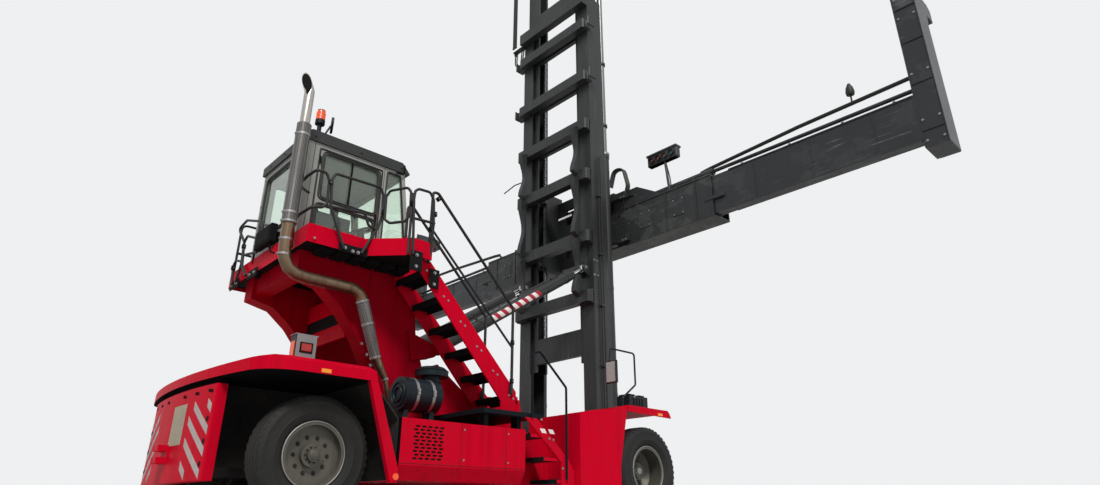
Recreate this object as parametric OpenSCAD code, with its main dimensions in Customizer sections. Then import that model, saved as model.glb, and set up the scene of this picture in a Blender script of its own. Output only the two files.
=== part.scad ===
// Empty container handler with a two-stage mast and a telescopic side spreader.
// Plus X points forward, plus Y to the left and plus Z up.
// Inside the modules X is counted from the front axle, and placed() moves it to the frame's origin.

/* [Wheels] */
// Tyre radius
tyre_r = 570; // [530:5:600]
// Tyre section width
tyre_w = 310; // [270:5:330]
// Radius of the rim under the tyre bead
rim_r = 306; // [290:2:320]
// Distance between the axles
wheelbase = 4470; // [4440:5:4500]
// Distance between the middles of the outer front tyres
front_track = 3900; // [3860:10:3960]
// Gap between the twin front tyres
twin_gap = 40; // [30:2:60]
// Distance between the middles of the rear tyres
rear_track = 2890; // [2870:5:2910]
// Distance between the two kingpins
kingpin_span = 2400; // [2380:5:2420]
// Kingpin radius
kingpin_r = 32; // [26:1:40]
// Running clearance of a pin in its bore
pin_fit = 0.05; // [0.02:0.01:0.1]

/* [Body] */
// Half width of the rear body and side boxes
body_half = 1850; // [1800:10:1900]
// Height of the rear deck
deck_z = 1455; // [1440:5:1480]
// Underside of the rear fascia
fascia_z = 1295; // [1285:5:1310]
// Underside of the bodywork
sill_z = 330; // [280:10:400]
// Rear end of the counterweight, behind the front axle
tail_x = 5380; // [5360:5:5430]
// Front face of the counterweight, behind the front axle
arch_rear_x = 5190; // [5180:2:5200]
// Top of the side boxes
box_top = 970; // [920:10:1010]
// Rear end of the side boxes, behind the front axle
box_rear_x = 3700; // [3650:10:3740]
// Front end of the side boxes, behind the front axle
box_front_x = 2000; // [1950:10:2050]
// Height of the front fender's top
fender_z = 1380; // [1350:5:1420]
// Thickness of the fender plates
plate_t = 30; // [20:2:40]
// Rear face of the front wheel housing, behind the front axle
housing_x = 600; // [590:5:640]
// Half width of the bonnet
hood_half = 790; // [740:10:800]
// Bonnet skin thickness
skin_t = 25; // [15:1:35]

/* [Chassis] */
// Outer face of each chassis rail from the middle
rail_out = 560; // [540:5:575]
// Width of a chassis rail
rail_w = 140; // [100:5:180]
// Underside of the chassis rails
rail_z = 750; // [740:2:770]
// Height of the chassis rails
rail_h = 200; // [160:5:215]
// Inner face of the mast carrier plates from the middle
carrier_in = 975; // [960:5:990]
// Thickness of the mast carrier plates
carrier_t = 60; // [40:5:80]
// Mast pivot, ahead of the front axle
pivot_x = 470; // [460:5:480]
// Mast pivot height
pivot_z = 800; // [780:5:830]
// Mast pivot pin radius
pivot_r = 45; // [35:1:55]

/* [Tower and platform] */
// Outer face of the tower legs from the middle
tower_out = 800; // [780:5:815]
// Inner face of the tower legs from the middle
tower_in = 560; // [480:10:600]
// Height of the platform floor
floor_z = 2960; // [2900:10:3000]
// Thickness of the platform floor
floor_t = 60; // [40:5:80]
// Height of the platform's edge plates
edge_h = 220; // [160:10:260]
// Thickness of the platform's edge plates
edge_t = 12; // [8:1:16]
// Half width of the platform beside the cab
platform_half = 1200; // [1150:10:1250]
// Half width of the platform at the stair head
landing_half = 1620; // [1600:10:1680]
// Handrail height above the floor
rail_top = 860; // [800:10:1000]
// Handrail tube radius
tube_r = 19; // [15:1:24]
// Bend of the handrail tubes
rail_bend = 80; // [60:5:95]

/* [Cab] */
// Half width of the cab
cab_half = 700; // [660:10:720]
// Rear wall of the cab, behind the front axle
cab_rear_x = 4640; // [4600:10:4660]
// Inside clear height of the cab
cab_h = 1420; // [1360:10:1480]
// Cab wall thickness
wall_t = 45; // [35:1:60]
// Glass thickness
glass_t = 8; // [5:1:12]
// Roof thickness
roof_t = 150; // [110:5:180]
// Clearance round the door
door_gap = 6; // [4:1:10]

/* [Stairs] */
// Outer stringer from the middle
stair_out = 1470; // [1440:5:1500]
// Clear width of the stairs
stair_w = 600; // [560:10:640]
// Height of the lower deck
step_deck_z = 1160; // [1120:10:1200]
// Number of treads
tread_n = 6; // [4:1:8]

/* [Mast] */
// Half width of the outer mast
mast_half = 920; // [900:5:935]
// Rear face of the mast posts, ahead of the front axle
post_x = 280; // [275:1:290]
// Depth of the outer posts
post_d = 380; // [370:2:390]
// Flange width of the outer posts
post_w = 270; // [260:2:290]
// Plate thickness of the posts
post_t = 40; // [30:1:44]
// Slide clearance between the two masts
slide_gap = 20; // [12:1:24]
// Underside of the outer mast
mast_z = 350; // [330:5:380]
// Length of the outer mast
outer_len = 9250; // [9000:50:9500]
// Length of the inner mast
inner_len = 9250; // [9000:50:9400]
// How far the inner mast is raised
inner_lift = 1950; // [1950:1:1960]
// Height of a mast cross bar
bar_h = 200; // [160:5:240]
// Depth of an outer cross bar
bar_d = 150; // [120:5:170]
// Lift cylinder barrel radius
lift_r = 80; // [70:2:84]
// Lift cylinder rod radius
lift_rod_r = 52; // [40:2:56]
// Height of the lift cylinder's gland
gland_z = 6200; // [6000:50:6400]

/* [Tilt cylinders] */
// Height of the rod's eye on the mast
eye_z = 3850; // [3800:10:3900]
// Height of the rear pivot on the tower
rear_pin_z = 1980; // [1950:10:2010]
// Rear pivot, behind the front axle
rear_pin_x = 2700; // [2690:5:2720]
// Distance of the cylinders from the middle
tilt_y = 749; // [740:1:760]
// Barrel radius
tilt_r = 88; // [80:1:95]
// Rod radius
tilt_rod_r = 36; // [30:1:40]
// Rod length that shows
tilt_show = 250; // [245:5:320]

/* [Spreader] */
// Rear face of the spreader frame, ahead of the front axle
frame_x = 1000; // [995:1:1010]
// Underside of the spreader frame
frame_z = 4400; // [4390:5:4420]
// Height of the spreader frame
frame_h = 710; // [690:5:720]
// Half length of the spreader frame
frame_half = 2860; // [2800:10:2870]
// Thickness of the spreader frame's plates
frame_t = 20; // [14:1:24]
// Clearance of a beam in the frame
beam_gap = 12; // [8:1:20]
// Width of one telescopic beam
beam_w = 170; // [150:2:172]
// Width of an end arm
arm_w = 280; // [240:5:320]
// Height of the arms' top
arm_top = 6760; // [6700:10:6850]
// Twistlock spacing along the spreader
lock_span = 11985; // [11980:1:11990]
// Twistlock radius
lock_r = 27; // [22:1:30]
// Height of the face that rests on the load
lock_z = 6500; // [6480:5:6520]

/* [Hidden] */
$fn = 48;
bend_steps = 3;

red = "#b3132c";
black = "#232628";
grey = "#8a8f92";
dark = "#2e3133";
steel = "#c9ccd0";
rubber = "#1b1c1d";

// Towing jaw behind the counterweight
jaw_l = 90;
hook_front_x = 1750;
shift_x = (tail_x + jaw_l - hook_front_x) / 2;

// Places of the wheels
twin_step = tyre_w + twin_gap;
outer_y = front_track / 2;
inner_y = outer_y - twin_step;
rear_y = rear_track / 2;
king_y = kingpin_span / 2;
twin_mid = (outer_y + inner_y) / 2;
guard_half = outer_y + tyre_w / 2 + 15;
housing_top_x = housing_x - 170;
well_t = 12;
tail_bow = 7000;
block_half = 1020;
block_top = fascia_z - 60;

// Axle housings
axle_r = 150;
drum_r = 205;
drum_in = inner_y - tyre_w / 2 - 200;
hub_gap = 12;
hub_start = inner_y - tyre_w / 2 - 20;
spindle_r = 80;
spindle_in = 130;

// Carrier plates
carrier_out = carrier_in + carrier_t;

// Cab heights
cab_z0 = floor_z;
cab_z1 = cab_z0 + cab_h;
front_low_x = -3070;
front_top_x = -3270;
post_front_x = -3600;
door_rear_x = -4500;
door_x0 = door_rear_x + door_gap;
door_x1 = post_front_x - door_gap;
door_z0 = cab_z0 + 60;
door_z1 = cab_z1 - 60;

// Mast sections
outer_in = mast_half - post_w;
inner_x0 = post_x + post_t + slide_gap;
inner_x1 = post_x + post_d - post_t - slide_gap;
inner_y1 = mast_half - post_t - slide_gap;
inner_y0 = outer_in - 110;
inner_t = 38;
inner_z = mast_z + inner_lift;
roller_r = (inner_x1 - inner_x0) / 2 - inner_t - 2;
roller_x = (inner_x0 + inner_x1) / 2;
stub_r = 45;
outer_bar_z = [3340, 4400, 5580, 6600, 7650, 8850];
inner_bar_z = [6600, 7650, 8850, 9950];
lift_x = post_x + post_d + lift_r + 10;
lift_y = mast_half - lift_r - 6;
lift_foot_z = mast_z + 150;

// Tilt cylinder direction
eye_x = post_x - 80;
tilt_dx = eye_x + rear_pin_x;
tilt_dz = eye_z - rear_pin_z;
tilt_len = sqrt(tilt_dx * tilt_dx + tilt_dz * tilt_dz);
tilt_ang = atan2(tilt_dz, tilt_dx);
tilt_gland = tilt_len - tilt_show - 75;
tilt_pin_r = 40;
eye_pin_r = 30;
eye_play = 9;
eye_w = 90;
lug_t = 32;
lug_gap = 6;

// Carriage
carriage_z0 = 4150;
carriage_z1 = 5750;
side_in = 430;
side_out = inner_y0 - 25;
guide_z = [frame_z + 60, frame_z + frame_h + 170];
guide_h = 110;
guide_x0 = frame_x - 115;
guide_x1 = frame_x - 12;

// Spreader
frame_x1 = frame_x + 3 * frame_t + 4 * beam_gap + 2 * beam_w;
frame_top = frame_z + frame_h;
beam_z0 = frame_z + frame_t + beam_gap;
beam_z1 = frame_top - frame_t - beam_gap;
beam_x = [frame_x + frame_t + beam_gap, frame_x + 2 * frame_t + 3 * beam_gap + beam_w];
beam_end = 200;
ram_z = frame_top + 95;
ram_r = 58;
ram_rod_r = 30;
arm_x0 = frame_x + 40;
arm_x1 = frame_x1 - 10;
lock_x = 1630;
arm_in = lock_span / 2 - 42.5;

// Tower leg outline, seen from the side
tower_pts = [
    [-2680, 970], [-2680, 1300], [-2960, 2100], [-3050, floor_z - floor_t],
    [-4600, floor_z - floor_t], [-4600, 2600], [-4290, 2530], [-4040, 2330], [-3760, 2000],
    [-3560, 1650], [-3450, 1300], [-3430, 970]];

// Platform outline, seen from above
platform_pts = [
    [-4700, -platform_half], [-4000, -platform_half], [-3600, -landing_half],
    [-3330, -landing_half], [-3330, -tower_out - 20], [-2950, -tower_out - 20],
    [-2950, tower_out + 20], [-3600, platform_half], [-4700, platform_half]];

module placed() {
    translate([shift_x, 0, 0])
        children();
}

module both_sides() {
    children();
    mirror([0, 1, 0])
        children();
}

// A block between two corners
module block(a, b) {
    translate(a)
        cube([b[0] - a[0], b[1] - a[1], b[2] - a[2]]);
}

// A plate drawn in the side view, between two distances from the middle
module side_plate(pts, y0, y1) {
    translate([0, y1, 0])
        rotate([90, 0, 0])
            linear_extrude(y1 - y0)
                polygon(pts);
}

// A round bar along Y
module bar_y(x, z, y0, y1, r) {
    translate([x, y1, z])
        rotate([90, 0, 0])
            cylinder(r = r, h = y1 - y0);
}

// A round bar between two points
module rod(a, b, r) {
    d = b - a;
    len = norm(d);
    translate(a)
        rotate([0, acos(d[2] / len), atan2(d[1], d[0])])
            cylinder(r = r, h = len);
}

// The points of a bend at p, from direction a to direction b
function bend_points(p, a, b, bend) =
    let (
        turn = acos(a * b),
        inward = (b - a * (a * b)) / norm(b - a * (a * b)),
        centre = p - a * bend * tan(turn / 2) + inward * bend
    )
    [for (k = [0:bend_steps])
        centre + bend * (a * sin(turn * k / bend_steps) - inward * cos(turn * k / bend_steps))];

// A route through a list of points, with each corner rounded
function route(pts, bend) =
    let (
        n = len(pts),
        dirs = [for (i = [0:n - 2]) (pts[i + 1] - pts[i]) / norm(pts[i + 1] - pts[i])]
    )
    [for (i = [0:n - 1]) each i == 0 || i == n - 1 ? [pts[i]]
        : bend_points(pts[i], dirs[i - 1], dirs[i], bend)];

// A bent tube through a list of points; side is a direction that no stretch follows
module tube_run(pts, r, bend, side = [0, 1, 0], sides = 8) {
    path = route(pts, bend);
    n = len(path);
    ring = [for (i = [0:n - 1], j = [0:sides - 1])
        let (
            before = path[max(i - 1, 0)],
            after = path[min(i + 1, n - 1)],
            along = (after - before) / norm(after - before),
            u = cross(along, side) / norm(cross(along, side)),
            v = cross(along, u),
            a = 360 * j / sides
        )
        path[i] + r * (cos(a) * u + sin(a) * v)];
    walls = [for (i = [0:n - 2], j = [0:sides - 1])
        let (k = (j + 1) % sides)
        each [[i * sides + j, (i + 1) * sides + j, i * sides + k],
            [i * sides + k, (i + 1) * sides + j, (i + 1) * sides + k]]];
    start = [for (j = [0:sides - 1]) j];
    end = [for (j = [0:sides - 1]) n * sides - 1 - j];
    polyhedron(ring, concat(walls, [start, end]));
}

// A rectangle with round corners, centred on the origin
module round_rect(w, h, r) {
    square([w - 2 * r, h], center = true);
    square([w, h - 2 * r], center = true);
    for (x = [-1, 1], y = [-1, 1])
        translate([x * (w / 2 - r), y * (h / 2 - r)])
            circle(r = r);
}

// A round-cornered window through the right wall, given by its side-view corners
module side_window(x0, x1, z0, z1, r, y0, y1) {
    translate([(x0 + x1) / 2, y1, (z0 + z1) / 2])
        rotate([90, 0, 0])
            linear_extrude(y1 - y0)
                round_rect(x1 - x0, z1 - z0, r);
}

// The points of an anticlockwise outline, moved inward by t
function inset(pts, t) =
    let (
        n = len(pts),
        dirs = [for (i = [0:n - 1]) (pts[(i + 1) % n] - pts[i]) / norm(pts[(i + 1) % n] - pts[i])],
        normals = [for (d = dirs) [-d[1], d[0]]]
    )
    [for (i = [0:n - 1])
        let (na = normals[(i + n - 1) % n], nb = normals[i])
        pts[i] + t * (na + nb) / (1 + na * nb)];

// Chassis

module frame_rails() {
    color(dark) placed() {
        both_sides()
            block([-arch_rear_x, rail_out - rail_w, rail_z], [150, rail_out, rail_z + rail_h]);
        for (x = [-arch_rear_x, -3500, -1500])
            block([x, rail_w - rail_out, rail_z + 20], [x + 160, rail_out - rail_w, rail_z + rail_h - 20]);
        both_sides()
            block([-housing_x, rail_out, rail_z], [-housing_x + 60, carrier_in, rail_z + rail_h]);
        both_sides()
            wheel_well();
    }
}

// Sheets that close one rear wheel well: one wall along the frame and one bent across its front
module wheel_well() {
    wall_y = rail_out + well_t;
    side_plate([[-arch_rear_x, 480], [-wheelbase - 230, 480], [-wheelbase - 230, rail_z + 20],
        [-box_rear_x, rail_z + 20], [-box_rear_x, box_top - 10], [-4020, fascia_z],
        [-arch_rear_x, fascia_z]], rail_out - 2, wall_y);
    side_plate([[-4045, fascia_z], [-4020, fascia_z], [-box_rear_x, box_top - 10],
        [-box_rear_x, sill_z + 30], [-box_rear_x - well_t, sill_z + 30],
        [-box_rear_x - well_t, box_top - 18]], rail_out - 2, body_half - 60);
}

module mast_carriers() {
    color(red) placed()
        both_sides()
            difference() {
                side_plate([[-housing_x, 450], [250, 450], [pivot_x + 120, pivot_z - 130],
                    [pivot_x + 120, pivot_z + 130], [300, fender_z - plate_t],
                    [-housing_x, fender_z - plate_t]], carrier_in, carrier_out);
                bar_y(0, tyre_r, carrier_in - 1, carrier_out + 1, axle_r + 0.5);
                bar_y(pivot_x, pivot_z, carrier_in - 1, carrier_out + 1, pivot_r + pin_fit);
            }
}

// Plan of the tail up to x1: a shallow arc across the back, round corners and straight sides
module tail_plan(x1, back, half, corner) {
    bow_x = tail_bow - back;
    corner_x = bow_x - sqrt(pow(tail_bow - corner, 2) - pow(half - corner, 2));
    touch_y = (half - corner) * tail_bow / (tail_bow - corner);
    intersection() {
        translate([bow_x, 0])
            circle(r = tail_bow, $fn = 360);
        translate([-back - 1, -touch_y])
            square([back + 1 + corner_x, 2 * touch_y]);
    }
    translate([corner_x, -half])
        square([x1 - corner_x, 2 * half]);
    for (y = [corner - half, half - corner])
        translate([corner_x, y])
            circle(r = corner);
}

// A plate drawn in the end view as y and z, between two distances ahead
module cross_plate(pts, x0, x1) {
    translate([x0, 0, 0])
        rotate([90, 0, 90])
            linear_extrude(x1 - x0)
                polygon(pts);
}

module counterweight() {
    color(red) placed() {
        translate([0, 0, sill_z])
            linear_extrude(block_top - sill_z)
                tail_plan(-arch_rear_x, tail_x - 15, block_half, 18);
        translate([0, 0, block_top])
            linear_extrude(fascia_z - block_top)
                tail_plan(-arch_rear_x, tail_x - 60, block_half - 45, 18);
        difference() {
            block([-tail_x - jaw_l, -90, 520], [-tail_x + 60, 90, 700]);
            block([-tail_x - jaw_l - 1, -91, 580], [-tail_x, 91, 640]);
            translate([-tail_x - jaw_l / 2, 0, 500])
                cylinder(r = 25, h = 220);
        }
    }
}

module rear_deck() {
    edge_fall = 60;
    color(red) placed()
        intersection() {
            translate([0, 0, fascia_z])
                linear_extrude(deck_z - fascia_z)
                    tail_plan(-4000, tail_x, body_half, 400);
            side_plate([[-tail_x - 1, fascia_z], [-4010, fascia_z], [-4060, deck_z], [-4900, deck_z],
                [-tail_x - 1, deck_z - edge_fall]], -body_half, body_half);
            cross_plate([[-body_half, fascia_z], [body_half, fascia_z],
                [body_half, deck_z - edge_fall], [body_half - 130, deck_z],
                [130 - body_half, deck_z], [-body_half, deck_z - edge_fall]], -tail_x - 1, -4000);
        }
}

module arch_bands() {
    color(red) placed()
        both_sides()
            side_plate([[-4100, fascia_z], [-box_rear_x - 80, sill_z], [-box_rear_x, sill_z],
                [-box_rear_x, sill_z + 130], [-4010, fascia_z]], body_half - 60, body_half);
}

module side_boxes() {
    vent_w = 62;
    vent_h = 22;
    turn_in = 85;
    turn_z = 500;
    color(red) placed() {
        both_sides()
            cross_plate([[tower_out + 10, sill_z + 30], [body_half - turn_in, sill_z + 30],
                [body_half - 12, turn_z - 12], [body_half - 12, box_top], [tower_out + 10, box_top]],
                -box_rear_x, -box_front_x);
        both_sides()
            difference() {
                cross_plate([[body_half - turn_in, sill_z + 30], [body_half, turn_z],
                    [body_half, box_top], [body_half - 12, box_top], [body_half - 12, turn_z - 12]],
                    -box_rear_x, -box_front_x);
                for (row = [0:9], col = [0:4])
                    block([-3545 + 76 * col + (row % 2) * 20, body_half - 12, 560 + 36 * row],
                        [-3545 + 76 * col + (row % 2) * 20 + vent_w - 8, body_half + 1,
                            560 + 36 * row + vent_h]);
            }
        both_sides()
            for (x = [-3600, -2200])
                block([x, rail_out, rail_z], [x + 100, tower_out + 10, rail_z + rail_h]);
    }
}

// Plan outline of one front box, from x0 to the wheel housing
module front_box(x0) {
    intersection() {
        side_plate([[-box_front_x, sill_z + 30], [-housing_x, sill_z + 30],
            [-housing_x, 600], [-housing_top_x, fender_z - plate_t], [-housing_top_x, fender_z - 10],
            [-1290, 1220], [-1890, 1100], [-box_front_x, 1060]],
            carrier_out, guard_half);
        linear_extrude(fender_z)
            polygon([[-box_front_x, carrier_out], [-housing_top_x, carrier_out],
                [-housing_top_x, guard_half], [-housing_x, guard_half], [-box_front_x, body_half]]);
        block([x0, carrier_out, 0], [-housing_top_x, guard_half, fender_z]);
    }
}

module front_boxes() {
    color(red) placed() {
        front_box(-box_front_x);
        mirror([0, 1, 0])
            front_box(-1220);
        block([-box_front_x, -1400, sill_z + 30], [-1220, -carrier_out, 1000]);
        both_sides()
            block([-box_front_x, rail_out, rail_z], [-housing_x, carrier_out, rail_z + rail_h]);
    }
}

module front_fenders() {
    color(red) placed()
        both_sides() {
            side_plate([[-housing_top_x, fender_z - plate_t], [470, fender_z - plate_t],
                [430, fender_z + 10], [20 - housing_top_x, fender_z + 10],
                [-housing_top_x, fender_z - 10]], carrier_in, guard_half + 20);
            side_plate([[-housing_top_x, fender_z - 75], [500, fender_z - 90],
                [470, fender_z - plate_t], [-housing_top_x, fender_z - plate_t]],
                guard_half, guard_half + 20);
        }
}

module front_axle() {
    color(dark) placed() {
        bar_y(0, tyre_r, -drum_in, drum_in, axle_r);
        both_sides()
            bar_y(0, tyre_r, drum_in, hub_start - hub_gap, drum_r);
        both_sides()
            bar_y(0, tyre_r, hub_start - hub_gap, hub_start + spindle_in, spindle_r);
        translate([0, 0, tyre_r])
            rotate([90, 0, 0])
                rotate_extrude()
                    polygon([[0, -330], [170, -330], [235, -180], [235, 180], [170, 330], [0, 330]]);
        both_sides()
            block([-140, rail_out - rail_w, tyre_r + axle_r - 30], [140, rail_out, rail_z]);
    }
}

module rear_axle() {
    yoke_h = 50;
    knuckle_h = 190;
    z0 = tyre_r - knuckle_h / 2;
    z1 = tyre_r + knuckle_h / 2;
    color(dark) placed()
        translate([-wheelbase, 0, 0]) {
            block([-130, -king_y + 150, z0 - yoke_h], [130, king_y - 150, z1 + yoke_h]);
            both_sides()
                difference() {
                    union() {
                        block([-90, king_y - 160, z0 - yoke_h], [90, king_y, z1 + yoke_h]);
                        translate([0, king_y, z0 - yoke_h])
                            cylinder(r = 90, h = knuckle_h + 2 * yoke_h);
                    }
                    block([-131, king_y - 110, z0 - 3], [131, king_y + 100, z1 + 3]);
                    translate([0, king_y, z0 - yoke_h - 1])
                        cylinder(r = kingpin_r + pin_fit, h = knuckle_h + 2 * yoke_h + 2);
                }
            block([-110, -rail_out, z1 + yoke_h], [110, rail_out, rail_z]);
        }
}

// One steering knuckle with its kingpin and stub axle, on the left
module knuckle() {
    color(dark) placed()
        translate([-wheelbase, king_y, tyre_r]) {
            cylinder(r = 78, h = 190, center = true);
            cylinder(r = kingpin_r, h = 288, center = true);
            bar_y(0, 0, 0, rear_y - king_y - 60, 60);
            bar_y(0, 0, rear_y - king_y - 60, rear_y - king_y + 60, 44);
        }
}

module knuckle_left() {
    knuckle();
}

module knuckle_right() {
    mirror([0, 1, 0])
        knuckle();
}

// Tyre turned about the Y axis, with its middle at y
module tyre(y) {
    half = tyre_w / 2;
    translate([0, y, tyre_r])
        rotate([90, 0, 0])
            rotate_extrude()
                polygon([[rim_r, -105], [rim_r + 26, -122], [380, -half], [485, -half + 3],
                    [tyre_r - 14, -half + 26], [tyre_r, -half + 52], [tyre_r, half - 52],
                    [tyre_r - 14, half - 26], [485, half - 3], [380, half], [rim_r + 26, 122],
                    [rim_r, 105]]);
}

// Rim with its disc, seen as radius against distance outboard of the tyre's middle
module rim(y, disc_t, side) {
    translate([0, y, tyre_r])
        rotate([90, 0, 0])
            mirror([0, 0, side > 0 ? 1 : 0])
                rotate_extrude()
                    polygon([[rim_r - 24, -126], [rim_r + 14, -126], [rim_r + 14, -115.5],
                        [rim_r - 0.6, -106], [rim_r - 0.6, 106], [rim_r + 14, 115.5],
                        [rim_r + 14, 126], [rim_r - 24, 126], [rim_r - 24, disc_t / 2 + 30],
                        [190, disc_t], [100, disc_t], [100, disc_t - 18], [196, disc_t - 18],
                        [rim_r - 24, disc_t / 2 - 10]]);
}

module rear_tyre_left() {
    color(rubber) placed()
        translate([-wheelbase, 0, 0])
            tyre(rear_y);
}

module rear_tyre_right() {
    mirror([0, 1, 0])
        rear_tyre_left();
}

// Rear hub and rim, turning on the stub axle
module rear_rim_left() {
    color(grey) placed()
        translate([-wheelbase, 0, 0]) {
            rim(rear_y, 40, 1);
            difference() {
                union() {
                    bar_y(0, tyre_r, rear_y - 55, rear_y + 90, 112);
                    bar_y(0, tyre_r, rear_y + 90, rear_y + 130, 62);
                }
                bar_y(0, tyre_r, rear_y - 56, rear_y + 62, 44 + pin_fit);
            }
        }
}

module rear_rim_right() {
    mirror([0, 1, 0])
        rear_rim_left();
}

module front_tyres_left() {
    color(rubber) placed() {
        tyre(outer_y);
        tyre(inner_y);
    }
}

module front_tyres_right() {
    mirror([0, 1, 0])
        front_tyres_left();
}

// Twin rims on one hub
module front_rims_left() {
    dish = twin_step / 2;
    color(grey) placed() {
        rim(outer_y, dish, -1);
        rim(inner_y, dish, 1);
        difference() {
            bar_y(0, tyre_r, hub_start, twin_mid + 20, 150);
            bar_y(0, tyre_r, hub_start - 1, hub_start + spindle_in + 5, spindle_r + pin_fit);
        }
        bar_y(0, tyre_r, twin_mid + 20, twin_mid + 130, 112);
        bar_y(0, tyre_r, twin_mid + 130, twin_mid + 150, 88);
    }
}

module front_rims_right() {
    mirror([0, 1, 0])
        front_rims_left();
}

// Engine and bonnet

module engine_block() {
    color(grey) placed()
        block([-2560, rail_w - rail_out, rail_z + 30], [-1560, rail_out - rail_w, 1330]);
}

module engine_hood() {
    outer_pts = [[-2680, rail_z + rail_h], [-2680, 1790], [-2600, 1830], [-2130, 1500],
        [-1190, 1520], [-1100, rail_z + rail_h]];
    inner_pts = [[-2680 + skin_t, rail_z], [-2680 + skin_t, 1775], [-2603, 1800],
        [-2138, 1500 - skin_t], [-1190 - skin_t, 1520 - skin_t], [-1100 - skin_t, rail_z]];
    color(red) placed()
        difference() {
            side_plate(outer_pts, -hood_half, hood_half);
            side_plate(inner_pts, skin_t - hood_half, hood_half - skin_t);
        }
}

// Cab tower with the rear pins of the tilt cylinders

module cab_tower() {
    color(red) placed() {
        both_sides()
            side_plate(tower_pts, tower_in, tower_out);
        block([-3800, -tower_in, 2220], [-3600, tower_in, 2400]);
        block([-4560, -tower_in, 2660], [-4360, tower_in, floor_z - floor_t]);
        block([-3400, -tower_in, 2660], [-3200, tower_in, floor_z - floor_t]);
        both_sides()
            block([-3430, rail_out - rail_w, rail_z + rail_h], [-2680, tower_out, 970]);
        both_sides() {
            for (side = [-1, 1])
                side_plate([[-3020, rear_pin_z - 160], [-rear_pin_x, rear_pin_z - 85],
                    [-rear_pin_x + 75, rear_pin_z - 30], [-rear_pin_x + 75, rear_pin_z + 40],
                    [-rear_pin_x, rear_pin_z + 85], [-3100, rear_pin_z + 200]],
                    tilt_y + side * (eye_w / 2 + lug_gap + lug_t / 2) - lug_t / 2,
                    tilt_y + side * (eye_w / 2 + lug_gap + lug_t / 2) + lug_t / 2);
            bar_y(-rear_pin_x, rear_pin_z, tilt_y - eye_w / 2 - lug_gap - lug_t - 8,
                tilt_y + eye_w / 2 + lug_gap + lug_t + 8, tilt_pin_r);
        }
    }
}

// Tilt cylinder: the barrel's own axis is laid along the line from pin to eye
module along_tilt() {
    translate([-rear_pin_x, tilt_y, rear_pin_z])
        rotate([0, 90 - tilt_ang, 0])
            children();
}

module tilt_barrel_left() {
    color(black) placed()
        along_tilt()
            difference() {
                union() {
                    translate([0, 0, 90])
                        cylinder(r = tilt_r, h = tilt_gland - 150);
                    translate([0, 0, tilt_gland - 60])
                        cylinder(r = tilt_r - 8, h = 60);
                    rotate([90, 0, 0])
                        cylinder(r = 78, h = eye_w, center = true);
                    translate([0, 0, 60])
                        cube([110, eye_w, 100], center = true);
                }
                rotate([90, 0, 0])
                    cylinder(r = tilt_pin_r + pin_fit, h = eye_w + 2, center = true);
                translate([0, 0, 130])
                    cylinder(r = tilt_r - 18, h = tilt_gland - 190);
                translate([0, 0, 120])
                    cylinder(r = tilt_rod_r + 0.3, h = tilt_gland);
            }
}

module tilt_barrel_right() {
    mirror([0, 1, 0])
        tilt_barrel_left();
}

module tilt_rod_left() {
    color(steel) placed()
        along_tilt()
            difference() {
                union() {
                    translate([0, 0, tilt_len - 1500])
                        cylinder(r = tilt_rod_r, h = 1440);
                    translate([0, 0, tilt_len - 1500])
                        cylinder(r = tilt_r - 18.3, h = 60);
                    translate([0, 0, tilt_len])
                        rotate([90, 0, 0])
                            cylinder(r = 72, h = eye_w, center = true);
                }
                translate([0, 0, tilt_len])
                    rotate([90, 0, 0])
                        cylinder(r = eye_pin_r + eye_play, h = eye_w + 2, center = true);
            }
}

module tilt_rod_right() {
    mirror([0, 1, 0])
        tilt_rod_left();
}

// Platform and handrails

// The platform has an edge plate all round, but for the stair head
module platform() {
    head = platform_pts[3];
    color(red) placed() {
        translate([0, 0, floor_z - floor_t])
            linear_extrude(floor_t)
                polygon(platform_pts);
        translate([0, 0, floor_z - edge_h / 2])
            linear_extrude(edge_h)
                difference() {
                    polygon(platform_pts);
                    polygon(inset(platform_pts, edge_t));
                    translate([head[0] - edge_t - 1, head[1] + edge_t])
                        square([edge_t + 1, platform_pts[4][1] - head[1]]);
                }
    }
}

// One handrail panel outside an edge of the platform, from s0 to s1 along it
module rail_panel(edge, s0, s1) {
    a = platform_pts[edge];
    d = platform_pts[(edge + 1) % len(platform_pts)] - a;
    out = tube_r + 14;
    z0 = floor_z - edge_h / 2 + 30;
    z1 = floor_z + rail_top;
    mid = floor_z + rail_top / 2;
    translate([a[0], a[1], 0])
        rotate([0, 0, atan2(d[1], d[0])]) {
            tube_run([[s0, -out, z0], [s0, -out, z1], [s1, -out, z1], [s1, -out, z0]], tube_r, rail_bend);
            tube_run([[s0, -out, mid], [s1, -out, mid]], tube_r - 4, 1);
            for (s = [s0, s1])
                block([s - 25, -out, z0 + 20], [s + 25, 0, z0 + 120]);
        }
}

module platform_rails() {
    color(black) placed() {
        rail_panel(0, 40, 660);
        rail_panel(1, 60, 530);
        rail_panel(2, 50, 230);
        rail_panel(6, 300, 640);
        rail_panel(7, 60, 360);
        rail_panel(7, 440, 1060);
        rail_panel(8, 50, 900);
        rail_panel(8, 2000, 2350);
    }
}

// Cab

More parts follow.
